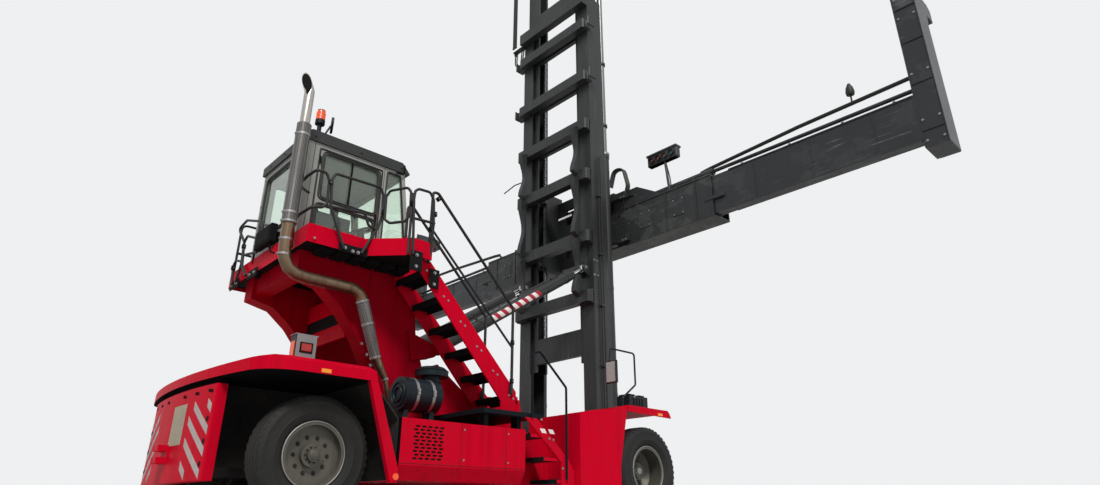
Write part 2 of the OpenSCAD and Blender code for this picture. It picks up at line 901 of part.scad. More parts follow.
module cab_shell() {
    outer_pts = [[-cab_rear_x, cab_z0], [-cab_rear_x, cab_z1], [front_top_x, cab_z1],
        [front_low_x, cab_z0]];
    inner_pts = [[-cab_rear_x + wall_t, cab_z0 + 20], [-cab_rear_x + wall_t, cab_z1 - 20],
        [front_top_x - wall_t, cab_z1 - 20], [front_low_x - wall_t, cab_z0 + 20]];
    color(grey) placed()
        difference() {
            side_plate(outer_pts, -cab_half, cab_half);
            side_plate(inner_pts, wall_t - cab_half, cab_half - wall_t);
            block([door_rear_x, -cab_half - 1, door_z0 - door_gap],
                [post_front_x, wall_t + 1 - cab_half, door_z1 + door_gap]);
            front_side_window(-cab_half - 1, cab_half + 1);
            side_window(-4480, post_front_x - 40, cab_z0 + 480, cab_z1 - 110, 50,
                cab_half - wall_t - 1, cab_half + 1);
            window_end(-cab_rear_x - 1, -cab_rear_x + wall_t + 1, 560, cab_z0 + 420, cab_z1 - 110);
            window_end(front_top_x - 60, front_low_x + 1, 620, cab_z0 + 90, cab_z1 - 70);
        }
}

// The side window ahead of the door, whose front edge follows the leaning windscreen
module front_side_window(y0, y1) {
    side_plate([[post_front_x + 60, cab_z0 + 60], [front_low_x - 60, cab_z0 + 60],
        [front_top_x - 60, cab_z1 - 40], [post_front_x + 60, cab_z1 - 40]], y0, y1);
}

// A window cut through the front or rear wall
module window_end(x0, x1, half, z0, z1) {
    block([x0, -half, z0], [x1, half, z1]);
}

module cab_glass() {
    lean = atan2(front_low_x - front_top_x, cab_h);
    color("#9fc7b5", 0.4) placed() {
        block([-cab_rear_x + 18, -560, cab_z0 + 420], [-cab_rear_x + 18 + glass_t, 560, cab_z1 - 110]);
        side_window(-4480, post_front_x - 40, cab_z0 + 480, cab_z1 - 110, 50, cab_half - 26,
            cab_half - 26 + glass_t);
        both_sides()
            front_side_window(cab_half - 26, cab_half - 26 + glass_t);
        side_plate([
            [front_low_x - 20 - 90 * tan(lean), cab_z0 + 90],
            [front_low_x - 20 + glass_t - 90 * tan(lean), cab_z0 + 90],
            [front_low_x - 20 + glass_t - (cab_h - 70) * tan(lean), cab_z1 - 70],
            [front_low_x - 20 - (cab_h - 70) * tan(lean), cab_z1 - 70]], -620, 620);
    }
}

module cab_roof() {
    color(dark) placed()
        side_plate([[-cab_rear_x - 30, cab_z1], [-cab_rear_x - 30, cab_z1 + roof_t - 25],
            [-cab_rear_x + 20, cab_z1 + roof_t], [front_top_x - 60, cab_z1 + roof_t],
            [front_top_x + 60, cab_z1 + 20], [front_top_x + 60, cab_z1]], -cab_half - 25,
            cab_half + 25);
}

module cab_door() {
    color(grey) placed()
        difference() {
            block([door_x0, -cab_half, door_z0], [door_x1, wall_t - cab_half, door_z1]);
            side_window(door_x0 + 70, door_x1 - 50, cab_z0 + 690, door_z1 - 45, 60, -cab_half - 1,
                wall_t + 1 - cab_half);
            side_window(door_x0 + 50, door_x1 - 60, door_z0 + 60, cab_z0 + 600, 60, -cab_half - 1,
                wall_t + 1 - cab_half);
        }
}

module door_glass() {
    color("#9fc7b5", 0.4) placed() {
        side_window(door_x0 + 70, door_x1 - 50, cab_z0 + 690, door_z1 - 45, 60, 18 - cab_half,
            18 + glass_t - cab_half);
        side_window(door_x0 + 50, door_x1 - 60, door_z0 + 60, cab_z0 + 600, 60, 18 - cab_half,
            18 + glass_t - cab_half);
    }
}

module seat() {
    color(dark) placed() {
        block([-4270, -230, cab_z0 + 420], [-3800, 230, cab_z0 + 540]);
        side_plate([[-4270, cab_z0 + 540], [-4150, cab_z0 + 540], [-4290, cab_z0 + 1130],
            [-4370, cab_z0 + 1130]], -220, 220);
    }
}

module console() {
    color(black) placed() {
        block([-4220, -160, cab_z0 + 20], [-3860, 160, cab_z0 + 420]);
        block([-4300, -420, cab_z0 + 420], [-3850, -290, cab_z0 + 640]);
        block([-4200, -400, cab_z0 + 20], [-3950, -310, cab_z0 + 420]);
        block([-3390, -60, cab_z0 + 20], [-3280, 60, cab_z0 + 60]);
        rod([-3335, 0, cab_z0 + 50], [-3480, 0, cab_z0 + 700], 45);
        translate([-3480, 0, cab_z0 + 700])
            rotate([0, -25, 0])
                difference() {
                    cylinder(r = 200, h = 30);
                    translate([0, 0, -1])
                        for (a = [0, 120, 240])
                            rotate([0, 0, a + 60])
                                translate([110, 0, 0])
                                    cylinder(r = 62, h = 32);
                }
    }
}

// Stairs from the lower deck to the platform

module stairs() {
    x_low = -1900;
    z_low = 1400;
    x_top = -3380;
    rise = (2740 - z_low) / (tread_n - 1);
    inner = stair_out - stair_w;
    color(red) placed()
        for (y = [-stair_out, -inner - 20])
            side_plate([[x_low + 60, step_deck_z], [x_low + 60, z_low + 80],
                [x_top + 130, floor_z - floor_t], [x_top, floor_z - floor_t], [x_top, 2740],
                [x_low - 180, z_low - 60], [x_low - 180, step_deck_z]], y, y + 20);
    color(black) placed()
        for (i = [0:tread_n - 1])
            block([x_low - 130 - rise * i, -stair_out + 20, z_low + rise * i - 20],
                [x_low + 110 - rise * i, -inner - 20, z_low + rise * i + 20]);
}

module stair_rails() {
    z_top = floor_z + rail_top;
    inner = stair_out - stair_w;
    color(black) placed() {
        for (side = [0, 1]) {
            face = side == 0 ? -stair_out : -inner - 20;
            y = face - tube_r - 10;
            tube_run([[-3300, y, 2860], [-3300, y, z_top], [-3220, y, z_top], [-1940, y, 2560],
                [-1940, y, 1440]], tube_r, 40);
            tube_run([[-3300, y, 3330], [-1940, y, 2030]], tube_r - 4, 1);
            block([-3330, y - 20, floor_z - floor_t + 5], [-3300, y + 20, floor_z - 5]);
            block([-1965, y, 1450], [-1915, face, 1550]);
        }
    }
}

module lower_steps() {
    y0 = -body_half - 60;
    color(black) placed() {
        block([-2680, y0, step_deck_z - 50], [-1780, -hood_half, step_deck_z]);
        block([-1950, y0 + 20, 890], [-1690, -1400, 930]);
        block([-1740, y0 + 20, 630], [-1470, -1400, 670]);
        block([-1520, y0 + 20, 380], [-1250, -1400, 420]);
        tube_run([[-1390, y0 - tube_r, 420], [-1390, y0 - tube_r, 1530], [-1850, y0 - tube_r, 1930],
            [-1970, y0 - tube_r, 1880], [-1970, y0 - tube_r, step_deck_z - 40]], tube_r - 4, 50);
    }
    color(red) placed() {
        side_plate([[-2060, step_deck_z - 50], [-1880, step_deck_z - 50], [-1340, 660],
            [-1240, 520], [-1240, 350], [-1460, 350], [-1460, 620]], y0, y0 + 20);
        for (x = [-2600, -2100])
            block([x, -body_half + 40, box_top], [x + 60, -body_half + 160, step_deck_z - 50]);
    }
}

// Exhaust, air cleaner, lamps and mirrors

module exhaust() {
    y = -1000;
    color("#8d7a63") placed() {
        tube_run([[-3230, y, box_top], [-3230, y, 1090], [-3320, y, 1250], [-3540, y, 1680],
            [-3860, y, 2480],
            [-4850, y, 2480], [-4850, y, 3100]], 68, 60, sides = 12);
        rod([-4850, y, 3080], [-4850, y, 4370], 82);
        tube_run([[-4850, y, 4360], [-4850, y, 4900], [-4960, y, 5040]], 60, 160, sides = 12);
        block([-4790, y - 20, 2870], [-4700, y + 20, 2930]);
    }
}

module air_cleaner() {
    color(black) placed() {
        translate([-3480, -1360, 1290])
            rotate([0, 90, 0])
                cylinder(r = 190, h = 480);
        translate([-2950, -1200, 1200])
            cylinder(r = 110, h = 360);
        translate([-2950, -1200, 1560])
            cylinder(r = 200, h = 60);
        block([-3010, -1330, 1200], [-2900, -1200, 1300]);
        for (x = [-3440, -3100])
            block([x, -1440, box_top], [x + 60, -1280, 1120]);
        block([-2990, -1240, box_top], [-2910, -1160, 1200]);
    }
}

module lamps() {
    color(dark) placed() {
        block([-4680, -1260, deck_z], [-4450, -1130, deck_z + 330]);
        translate([-4470, -500, cab_z1 + roof_t])
            cylinder(r = 28, h = 230);
        translate([-4470, -500, cab_z1 + roof_t + 230])
            cylinder(r = 62, h = 60);
        translate([-4470, -500, cab_z1 + roof_t + 290])
            cylinder(r = 50, h = 150);
        both_sides()
            block([-280, 80 - guard_half, fender_z + 10], [110, 310 - guard_half, fender_z + 170]);
    }
}

module mirrors() {
    foot_y = guard_half - 110;
    color(black) placed() {
        tube_run([[-4442, -500, cab_z1 + roof_t + 100], [-4390, -500, cab_z1 + roof_t + 100],
            [-4330, -520, cab_z1 + roof_t + 260]], 12, 20);
        translate([-4330, -520, cab_z1 + roof_t + 270])
            rotate([0, 90, -20])
                cylinder(r = 110, h = 30);
        both_sides() {
            tube_run([[-390, foot_y, fender_z + 10], [-390, foot_y, 1500], [-150, foot_y + 40, 1700],
                [-150, foot_y + 40, 2140], [-600, foot_y, 2150]], 13, 40, [3, 1, 0.5]);
            block([-680, foot_y - 30, 1660], [-640, foot_y + 150, 1960]);
            rod([-640, foot_y, 1960], [-600, foot_y, 2150], 13);
        }
    }
}

// Mast

// One post of the outer mast with its pivot pin and tilt cylinder lug
module outer_post() {
    x1 = post_x + post_d;
    difference() {
        block([post_x, outer_in, mast_z], [x1, mast_half, mast_z + outer_len]);
        block([post_x + post_t, outer_in - 1, mast_z - 1],
            [x1 - post_t, mast_half - post_t, mast_z + outer_len + 1]);
    }
    bar_y(pivot_x, pivot_z, mast_half - 1, mast_half + 30, pivot_r + 30);
    bar_y(pivot_x, pivot_z, mast_half - 1, carrier_out, pivot_r);
    for (side = [-1, 1])
        side_plate([[post_x, eye_z - 150], [eye_x - 40, eye_z - 70], [eye_x - 60, eye_z],
            [eye_x - 40, eye_z + 70], [post_x, eye_z + 150]],
            tilt_y + side * (eye_w / 2 + lug_gap + lug_t / 2) - lug_t / 2,
            tilt_y + side * (eye_w / 2 + lug_gap + lug_t / 2) + lug_t / 2);
    bar_y(eye_x, eye_z, tilt_y - eye_w / 2 - lug_gap - lug_t, tilt_y + eye_w / 2 + lug_gap + lug_t,
        eye_pin_r);
}

module outer_posts() {
    color(black) placed()
        both_sides()
            outer_post();
}

module outer_bars() {
    bar_half = mast_half + 20;
    color(black) placed() {
        for (z = outer_bar_z)
            translate([post_x - bar_d / 2, 0, z - bar_h / 2])
                linear_extrude(bar_h) {
                    round_rect(bar_d, 2 * bar_half, 70);
                    translate([0, -bar_half + 80])
                        square([bar_d / 2, 2 * bar_half - 160]);
                }
        block([post_x - bar_d, -mast_half, mast_z + outer_len - 250],
            [post_x, mast_half, mast_z + outer_len]);
        block([post_x, -outer_in, mast_z], [post_x + 60, outer_in, mast_z + 260]);
        both_sides()
            block([post_x + post_d, lift_y - lift_r, lift_foot_z - 120],
                [lift_x + lift_r, lift_y + lift_r, lift_foot_z]);
    }
}

module lift_barrels() {
    color(dark) placed()
        both_sides() {
            difference() {
                union() {
                    translate([lift_x, lift_y, lift_foot_z])
                        cylinder(r = lift_r, h = gland_z - lift_foot_z);
                    translate([lift_x, lift_y, gland_z - 90])
                        cylinder(r = lift_r + 8, h = 90);
                }
                translate([lift_x, lift_y, lift_foot_z + 30])
                    cylinder(r = lift_rod_r + 1, h = gland_z);
            }
            for (z = [2600, 4800])
                block([post_x + post_d, lift_y - 60, z], [lift_x - lift_r + 20, lift_y + 60, z + 60]);
        }
}

module lift_rods() {
    color(steel) placed()
        both_sides()
            translate([lift_x, lift_y, lift_foot_z + 60 + inner_lift])
                cylinder(r = lift_rod_r, h = inner_z + inner_len - 200 - lift_foot_z - 60 - inner_lift);
}

module inner_posts() {
    color(black) placed()
        both_sides()
            difference() {
                block([inner_x0, inner_y0, inner_z], [inner_x1, inner_y1, inner_z + inner_len]);
                block([inner_x0 + inner_t, inner_y0 - 1, inner_z - 1],
                    [inner_x1 - inner_t, inner_y1 - inner_t, inner_z + inner_len + 1]);
            }
}

module inner_bars() {
    top = inner_z + inner_len;
    bar_x1 = roller_x - stub_r - 8;
    color(black) placed() {
        block([inner_x0, -inner_y0, inner_z + 130], [bar_x1, inner_y0, inner_z + 570]);
        for (z = inner_bar_z)
            block([inner_x0, -inner_y0, z - bar_h / 2], [bar_x1, inner_y0, z + bar_h / 2]);
        block([inner_x0, -lift_y - lift_r, top], [lift_x + lift_r, lift_y + lift_r, top + 60]);
        both_sides()
            block([post_x + post_d + 10, lift_y - lift_r, top - 200],
                [lift_x + lift_r, lift_y + lift_r, top]);
    }
}

module carriage() {
    plate_x0 = roller_x - roller_r + 96;
    color(black) placed() {
        both_sides() {
            block([plate_x0, side_in, carriage_z0], [guide_x0, side_out, carriage_z1]);
            for (z = [carriage_z0 + 150, carriage_z1 - 150]) {
                bar_y(roller_x, z, side_out, inner_y0 + 30, stub_r);
                bar_y(roller_x, z, inner_y0 + 30, inner_y1 - inner_t - 20, roller_r);
                block([roller_x - stub_r, side_in, z - 60], [plate_x0, side_out, z + 60]);
            }
        }
        difference() {
            block([guide_x0 - 60, -side_in, carriage_z0 + 100], [guide_x0, side_in, carriage_z1 - 100]);
            for (z = [carriage_z0 + 300, carriage_z1 - 620])
                block([guide_x0 - 61, -260, z], [guide_x0 + 1, 260, z + 320]);
        }
        for (z = guide_z)
            block([guide_x0, -1150, z], [guide_x1, 1150, z + guide_h]);
    }
}

// Spreader

module spreader_frame() {
    tall_z = guide_z[1] + guide_h;
    mid_x = frame_x + frame_t + 2 * beam_gap + beam_w;
    color(black) placed() {
        difference() {
            block([frame_x, -frame_half, frame_z], [frame_x1, frame_half, frame_top]);
            for (x = [frame_x + frame_t, mid_x + frame_t])
                block([x, -frame_half - 1, frame_z + frame_t],
                    [x + beam_w + 2 * beam_gap, frame_half + 1, frame_top - frame_t]);
        }
        translate([frame_x + frame_t, 0, 0])
            rotate([90, 0, -90])
                linear_extrude(frame_t)
                    polygon([[-1900, frame_top], [-1350, tall_z + 45], [1350, tall_z + 45],
                        [1900, frame_top]]);
        block([guide_x0 + 10, -900, tall_z + 5], [frame_x, 900, tall_z + 45]);
        block([guide_x0 + 10, -900, guide_z[0] - 45], [frame_x, 900, guide_z[0] - 5]);
        for (side = [0, 1])
            mirror([0, side, 0])
                difference() {
                    union() {
                        bar_y(beam_x[1 - side] + beam_w / 2, ram_z, -350, frame_half, ram_r);
                        for (y = [-300, 1200, frame_half - 120])
                            block([beam_x[1 - side] + beam_w / 2 - 40, y, frame_top],
                                [beam_x[1 - side] + beam_w / 2 + 40, y + 100, ram_z]);
                    }
                    bar_y(beam_x[1 - side] + beam_w / 2, ram_z, -320, frame_half + 1, ram_rod_r + 4);
                }
        rod([frame_x + 30, -2030, frame_top], [frame_x + 30, -1980, 5700], 22);
        block([frame_x, -2230, 5700], [frame_x + 90, -1640, 5890]);
    }
}

// One telescopic beam with its end arm, on the left; x0 is the beam's rear face
module beam(x0) {
    color(black) placed() {
        block([x0, beam_end, beam_z0], [x0 + beam_w, arm_in, beam_z1]);
        side_plate([[arm_x0, 4300], [arm_x1, 4300], [arm_x1, lock_z - 300], [arm_x1 + 72, lock_z - 60],
            [arm_x1 + 72, lock_z], [hook_front_x, lock_z], [hook_front_x, arm_top - 60],
            [hook_front_x - 100, arm_top], [arm_x0 + 120, arm_top], [arm_x0, arm_top - 300]],
            arm_in, arm_in + arm_w);
        bar_y(x0 + beam_w / 2, ram_z, frame_half - 60, arm_in, ram_rod_r);
        block([arm_x1, arm_in + 20, 4340], [1530, arm_in + arm_w - 20, 4600]);
        translate([lock_x, lock_span / 2, lock_z - 75])
            cylinder(r = lock_r, h = 75);
    }
}

module beam_right() {
    mirror([0, 1, 0])
        beam(beam_x[0]);
}

module beam_left() {
    beam(beam_x[1]);
}

frame_rails();
mast_carriers();
counterweight();
rear_deck();
arch_bands();
side_boxes();
front_boxes();
front_fenders();
front_axle();
rear_axle();
engine_block();
engine_hood();
cab_tower();
platform();
platform_rails();
cab_shell();
cab_roof();
cab_glass();
cab_door();
door_glass();
seat();
console();
stairs();
stair_rails();
lower_steps();
exhaust();
air_cleaner();
lamps();
mirrors();
knuckle_right();
knuckle_left();
rear_tyre_right();
rear_tyre_left();
rear_rim_right();
rear_rim_left();
front_tyres_right();
front_tyres_left();
front_rims_right();
front_rims_left();
tilt_barrel_right();
tilt_barrel_left();
tilt_rod_right();
tilt_rod_left();
outer_posts();
outer_bars();
lift_barrels();
inner_posts();
inner_bars();
lift_rods();
carriage();
spreader_frame();
beam_right();
beam_left();
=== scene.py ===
# %% [markdown]
# Empty container handler: a lesson in dressing a CAD frame
#
# The solids of this machine come ready and to size: wheels, chassis, cab, mast and spreader. What
# they lack is everything that the eye reads as real, such as worn paint, bolts, rubber seals, hoses
# and tread. Each step below adds one of these. All lengths are in metres.

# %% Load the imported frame
import math

import bmesh
import bpy
from mathutils import Matrix, Vector


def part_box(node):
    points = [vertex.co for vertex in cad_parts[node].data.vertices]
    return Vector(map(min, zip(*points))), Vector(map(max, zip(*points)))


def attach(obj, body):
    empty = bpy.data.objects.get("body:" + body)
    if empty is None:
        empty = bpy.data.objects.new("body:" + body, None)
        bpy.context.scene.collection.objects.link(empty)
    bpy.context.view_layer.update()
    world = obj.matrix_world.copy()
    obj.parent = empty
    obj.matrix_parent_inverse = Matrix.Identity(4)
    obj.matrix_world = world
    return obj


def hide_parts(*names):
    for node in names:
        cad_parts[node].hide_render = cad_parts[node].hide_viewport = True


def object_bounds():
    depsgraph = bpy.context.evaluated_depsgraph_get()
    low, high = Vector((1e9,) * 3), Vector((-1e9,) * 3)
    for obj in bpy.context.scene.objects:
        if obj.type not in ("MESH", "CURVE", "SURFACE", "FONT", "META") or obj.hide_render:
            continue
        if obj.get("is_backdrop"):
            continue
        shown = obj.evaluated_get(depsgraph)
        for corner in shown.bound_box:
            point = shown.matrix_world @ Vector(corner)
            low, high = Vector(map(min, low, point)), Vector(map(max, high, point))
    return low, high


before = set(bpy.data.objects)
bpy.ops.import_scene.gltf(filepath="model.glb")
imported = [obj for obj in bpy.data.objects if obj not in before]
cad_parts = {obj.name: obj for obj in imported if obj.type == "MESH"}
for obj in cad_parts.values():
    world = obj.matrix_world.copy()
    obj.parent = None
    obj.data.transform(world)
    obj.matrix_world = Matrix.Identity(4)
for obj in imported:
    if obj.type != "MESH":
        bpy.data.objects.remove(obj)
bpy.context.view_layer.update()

# %% [markdown]
# Places on a vehicle are easiest to think of from its front axle: so far ahead, so far to the left,
# so high. The middle of the front tyres' box gives that axle, and the rear axle comes from the rear
# tyre's box in the same way. Every place in the steps below is counted like this.

# %% Find the axles
tyre_low, tyre_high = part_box("front_tyres_right")
AXLE_X = (tyre_low.x + tyre_high.x) / 2
WHEEL_Z = (tyre_low.z + tyre_high.z) / 2
rear_low, rear_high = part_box("rear_tyre_right")
REAR_X = (rear_low.x + rear_high.x) / 2 - AXLE_X
REAR_Y = (rear_low.y + rear_high.y) / 2
TYRE_HALF = (rear_high.y - rear_low.y) / 2
OUTER_Y = tyre_low.y + TYRE_HALF
INNER_Y = tyre_high.y - TYRE_HALF
print("wheelbase", round(-REAR_X, 3), "wheel radius", round(WHEEL_Z, 3), "half width", round(TYRE_HALF, 3))

# %% [markdown]
# The photograph was taken from very low, close behind the right rear corner, with a wide lens that
# looks steeply up the mast. The camera's place and turn were solved from the lines of the machine.

# %% Camera at the photograph's viewpoint
CAMERA_BEHIND = 7.45
CAMERA_ASIDE = 8.04
CAMERA_Z = 0.06
CAMERA_HEADING = 43.39
CAMERA_PITCH = 21.97
eye = bpy.data.cameras.new("camera")
eye.lens = 21.85
eye.sensor_width = 36.0
eye.clip_end = 400.0
camera = bpy.data.objects.new("camera", eye)
bpy.context.scene.collection.objects.link(camera)
camera.location = (AXLE_X - CAMERA_BEHIND, -CAMERA_ASIDE, CAMERA_Z)
camera.rotation_euler = (math.radians(90 + CAMERA_PITCH), 0, math.radians(-CAMERA_HEADING))
bpy.context.scene.camera = camera
bpy.context.scene.view_settings.view_transform = "Standard"
print("camera", round(eye.lens, 2), "mm")

# %% [markdown]
# Light and paint are both built from shader nodes. A node takes its settings and its inputs in one
# call here, and an input may be a plain value or another node's output.

# %% Helpers for shader nodes


def feed(tree, value, socket):
    """Gives a socket a plain value, or wires another node's output to it."""
    if isinstance(value, bpy.types.NodeSocket):
        tree.links.new(value, socket)
    else:
        socket.default_value = value


def add_node(tree, kind, wires=(), **settings):
    """A node with its settings and inputs."""
    made = tree.nodes.new(kind)
    for key, value in settings.items():
        setattr(made, key, value)
    for key, value in wires:
        feed(tree, value, made.inputs[key])
    return made


def math_node(tree, operation, a, b, clamp=False):
    """One sum on two values or sockets."""
    made = add_node(tree, "ShaderNodeMath", [(0, a), (1, b)], operation=operation, use_clamp=clamp)
    return made.outputs[0]


def mix_colour(tree, factor, a, b):
    """A colour between two colours."""
    made = add_node(tree, "ShaderNodeMix", data_type="RGBA")
    for key, value in ((0, factor), (6, a), (7, b)):
        feed(tree, value, made.inputs[key])
    return made.outputs[2]


def object_spot(tree):
    """The place on the surface in Object coordinates, which all finishes are counted in."""
    return add_node(tree, "ShaderNodeTexCoord").outputs["Object"]


def noise(tree, place, stretch, scale, detail=3.0, roughness=0.55):
    """Noise at a place, stretched by three factors."""
    mapping = add_node(tree, "ShaderNodeMapping", [("Vector", place), ("Scale", stretch)])
    return add_node(tree, "ShaderNodeTexNoise", [
        ("Vector", mapping.outputs[0]), ("Scale", scale), ("Detail", detail),
        ("Roughness", roughness)]).outputs["Fac"]


def ramp(tree, value, low, high):
    """Maps low..high to 0..1, held inside."""
    wires = [("Value", value), ("From Min", low), ("From Max", high)]
    return add_node(tree, "ShaderNodeMapRange", wires).outputs[0]


# %% [markdown]
# A pale studio: one broad soft lamp high over the camera's shoulder gives the shapes a light and a
# dark side, and the world fills the shadows. The world looks pale to the camera and to gloss and
# glass, through Light Path, and stays at a plain level as a light.

# %% Lamps and world
LAMP_COLOUR = (1.0, 0.97, 0.93)
FILL_COLOUR = (0.93, 0.96, 1.0, 1)
FILL_STRENGTH = 0.26
BACKDROP = (0.86, 0.87, 0.88, 1)


def add_sun(name, energy, towards, width):
    """A far lamp that shines along a direction; its width in degrees softens the shadows."""
    data = bpy.data.lights.new(name, "SUN")
    data.energy = energy
    data.color = LAMP_COLOUR
    data.angle = math.radians(width)
    made = bpy.data.objects.new(name, data)
    bpy.context.scene.collection.objects.link(made)
    made.rotation_euler = Vector(towards).to_track_quat("-Z", "Y").to_euler()


add_sun("key_light", 2.7, (0.40, 0.56, -0.78), 14)
add_sun("fill_light", 0.22, (-0.7, 0.75, -0.12), 40)
world = bpy.data.worlds.new("studio")
bpy.context.scene.world = world
world.use_nodes = True
sky = world.node_tree
sky.nodes.clear()
rays = add_node(sky, "ShaderNodeLightPath").outputs
shiny = math_node(sky, "MAXIMUM", rays["Is Glossy Ray"], rays["Is Transmission Ray"])
seen = math_node(sky, "MAXIMUM", rays["Is Camera Ray"], shiny)
fill = add_node(sky, "ShaderNodeBackground", [("Color", FILL_COLOUR), ("Strength", FILL_STRENGTH)])
view = add_node(sky, "ShaderNodeBackground", [("Color", BACKDROP)])
choose = add_node(sky, "ShaderNodeMixShader", [(0, seen), (1, fill.outputs[0]), (2, view.outputs[0])])
add_node(sky, "ShaderNodeOutputWorld", [("Surface", choose.outputs[0])])
print("studio ready")

# %% [markdown]
# The studio floor is one large pale plane. It isn't part of the machine, so it is marked as stage.

# %% Floor
FLOOR_HALF = 90.0
floor_paint = bpy.data.materials.new("floor_paint")
floor_paint.use_nodes = True
floor_shader = floor_paint.node_tree.nodes["Principled BSDF"]
floor_shader.inputs["Base Color"].default_value = (0.62, 0.62, 0.61, 1)
floor_shader.inputs["Roughness"].default_value = 0.9
sheet = bmesh.new()
bmesh.ops.create_grid(sheet, x_segments=1, y_segments=1, size=FLOOR_HALF)
floor_mesh = bpy.data.meshes.new("floor")
sheet.to_mesh(floor_mesh)
sheet.free()
floor_mesh.materials.append(floor_paint)
floor = bpy.data.objects.new("floor", floor_mesh)
bpy.context.scene.collection.objects.link(floor)
floor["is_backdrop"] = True
print("floor", 2 * FLOOR_HALF, "m wide")

# %% [markdown]
# Paint on a working machine is never one colour. Rain leaves vertical streaks, dust lies low down,
# and loads scrape it to bare metal. Each of these effects is a shader node group with named inputs,
# so every finish can use it in its own measure. The first group is the weather: streaks and dust.

# %% Group: weather, with streaks and dust
WHITE = (1, 1, 1, 1)
DUST = (0.20, 0.17, 0.145, 1)
COLOUR = "NodeSocketColor"
AMOUNT = "NodeSocketFloat"
EVEN = (1, 1, 1)


def shader_group(name, inputs, outputs):
    """An empty node group with typed inputs and outputs."""
    tree = bpy.data.node_groups.new(name, "ShaderNodeTree")
    for label, kind, value in inputs:
        tree.interface.new_socket(label, in_out="INPUT", socket_type=kind).default_value = value
    for label, kind in outputs:
        tree.interface.new_socket(label, in_out="OUTPUT", socket_type=kind)
    return tree, tree.nodes.new("NodeGroupInput").outputs, tree.nodes.new("NodeGroupOutput").inputs


weather, given, results = shader_group("weather", [
    ("Color", COLOUR, WHITE), ("Dust Color", COLOUR, DUST), ("Dust", AMOUNT, 0.3), ("Streaks", AMOUNT, 0.3),
    ("Shade Color", COLOUR, (0.1, 0.02, 0.03, 1))],
    [("Color", COLOUR), ("Mask", AMOUNT), ("Height", AMOUNT)])
place = object_spot(weather)
height = add_node(weather, "ShaderNodeSeparateXYZ", [("Vector", place)]).outputs["Z"]
low_down = ramp(weather, height, 2.4, 0.1)
patches = noise(weather, place, EVEN, 1.7, 5.0, 0.6)
runs = noise(weather, place, (9, 9, 0.55), 1.6, 4.0, 0.6)
grit = noise(weather, place, EVEN, 46.0, 2.0, 0.7)
settled = math_node(weather, "ADD", math_node(weather, "MULTIPLY", low_down, 0.75), 0.25)
dust = math_node(weather, "MULTIPLY", ramp(weather, patches, 0.38, 0.78), settled)
dust = math_node(weather, "MULTIPLY", dust, math_node(weather, "ADD", grit, 0.35))
dust = math_node(weather, "MULTIPLY", dust, given["Dust"], clamp=True)
streaks = math_node(weather, "MULTIPLY", ramp(weather, runs, 0.48, 0.74), given["Streaks"], clamp=True)
tone = mix_colour(weather, streaks, given["Color"], given["Shade Color"])
feed(weather, mix_colour(weather, dust, tone, given["Dust Color"]), results["Color"])
feed(weather, math_node(weather, "MAXIMUM", dust, streaks), results["Mask"])
feed(weather, grit, results["Height"])
print("group:", weather.name)

# %% [markdown]
# Scrapes are long and thin, because the loads slide one way. Noise that is stretched hard along one
# axis gives the lines, and a second, slow noise keeps them to some places only.

# %% Group: scrapes, long scratches down to a paler layer
BARE = (0.32, 0.32, 0.33, 1)
scrapes, given, results = shader_group("scrapes", [
    ("Color", COLOUR, WHITE), ("Bare Color", COLOUR, BARE), ("Amount", AMOUNT, 0.4),
    ("Stretch", "NodeSocketVector", (30.0, 30.0, 1.0))], [("Color", COLOUR), ("Mask", AMOUNT)])
place = object_spot(scrapes)
along = add_node(scrapes, "ShaderNodeVectorMath", [(0, place), (1, given["Stretch"])], operation="MULTIPLY")
lines = add_node(scrapes, "ShaderNodeTexNoise", [
    ("Vector", along.outputs[0]), ("Scale", 1.0), ("Detail", 6.0), ("Roughness", 0.7)]).outputs["Fac"]
where = noise(scrapes, place, EVEN, 1.1, 4.0, 0.6)
scratch = math_node(scrapes, "MULTIPLY", ramp(scrapes, lines, 0.58, 0.70), ramp(scrapes, where, 0.42, 0.62))
scratch = math_node(scrapes, "MULTIPLY", scratch, given["Amount"], clamp=True)
feed(scrapes, mix_colour(scrapes, scratch, given["Color"], given["Bare Color"]), results["Color"])
feed(scrapes, scratch, results["Mask"])
print("group:", scrapes.name)

# %% [markdown]
# The spreader has been touched up many times. Each coat of black is a little paler or darker than
# the last and ends in a hard, ragged edge. Noise cut off sharply at two levels gives such patches.

# %% Group: touched-up patches with hard edges
touch_up, given, results = shader_group("touch_up", [
    ("Color", COLOUR, WHITE), ("Patch Color", COLOUR, (0.05, 0.055, 0.06, 1)), ("Amount", AMOUNT, 1.0)],
    [("Color", COLOUR)])
blots = noise(touch_up, object_spot(touch_up), (1.0, 0.8, 1.0), 2.1, 6.0, 0.62)
above = ramp(touch_up, blots, 0.53, 0.545)
patch = math_node(touch_up, "SUBTRACT", above, ramp(touch_up, blots, 0.66, 0.67))
patch = math_node(touch_up, "MULTIPLY", patch, given["Amount"], clamp=True)
feed(touch_up, mix_colour(touch_up, patch, given["Color"], given["Patch Color"]), results["Color"])
print("group:", touch_up.name)

# %% [markdown]
# A finish is a Principled BSDF fed by the groups. The paint keeps one gloss and coat all over, set
# on the shader's own sockets, and only the colour, the roughness and the fine bump change over the
# surface.

# %% How a finish is built
finishes = {}


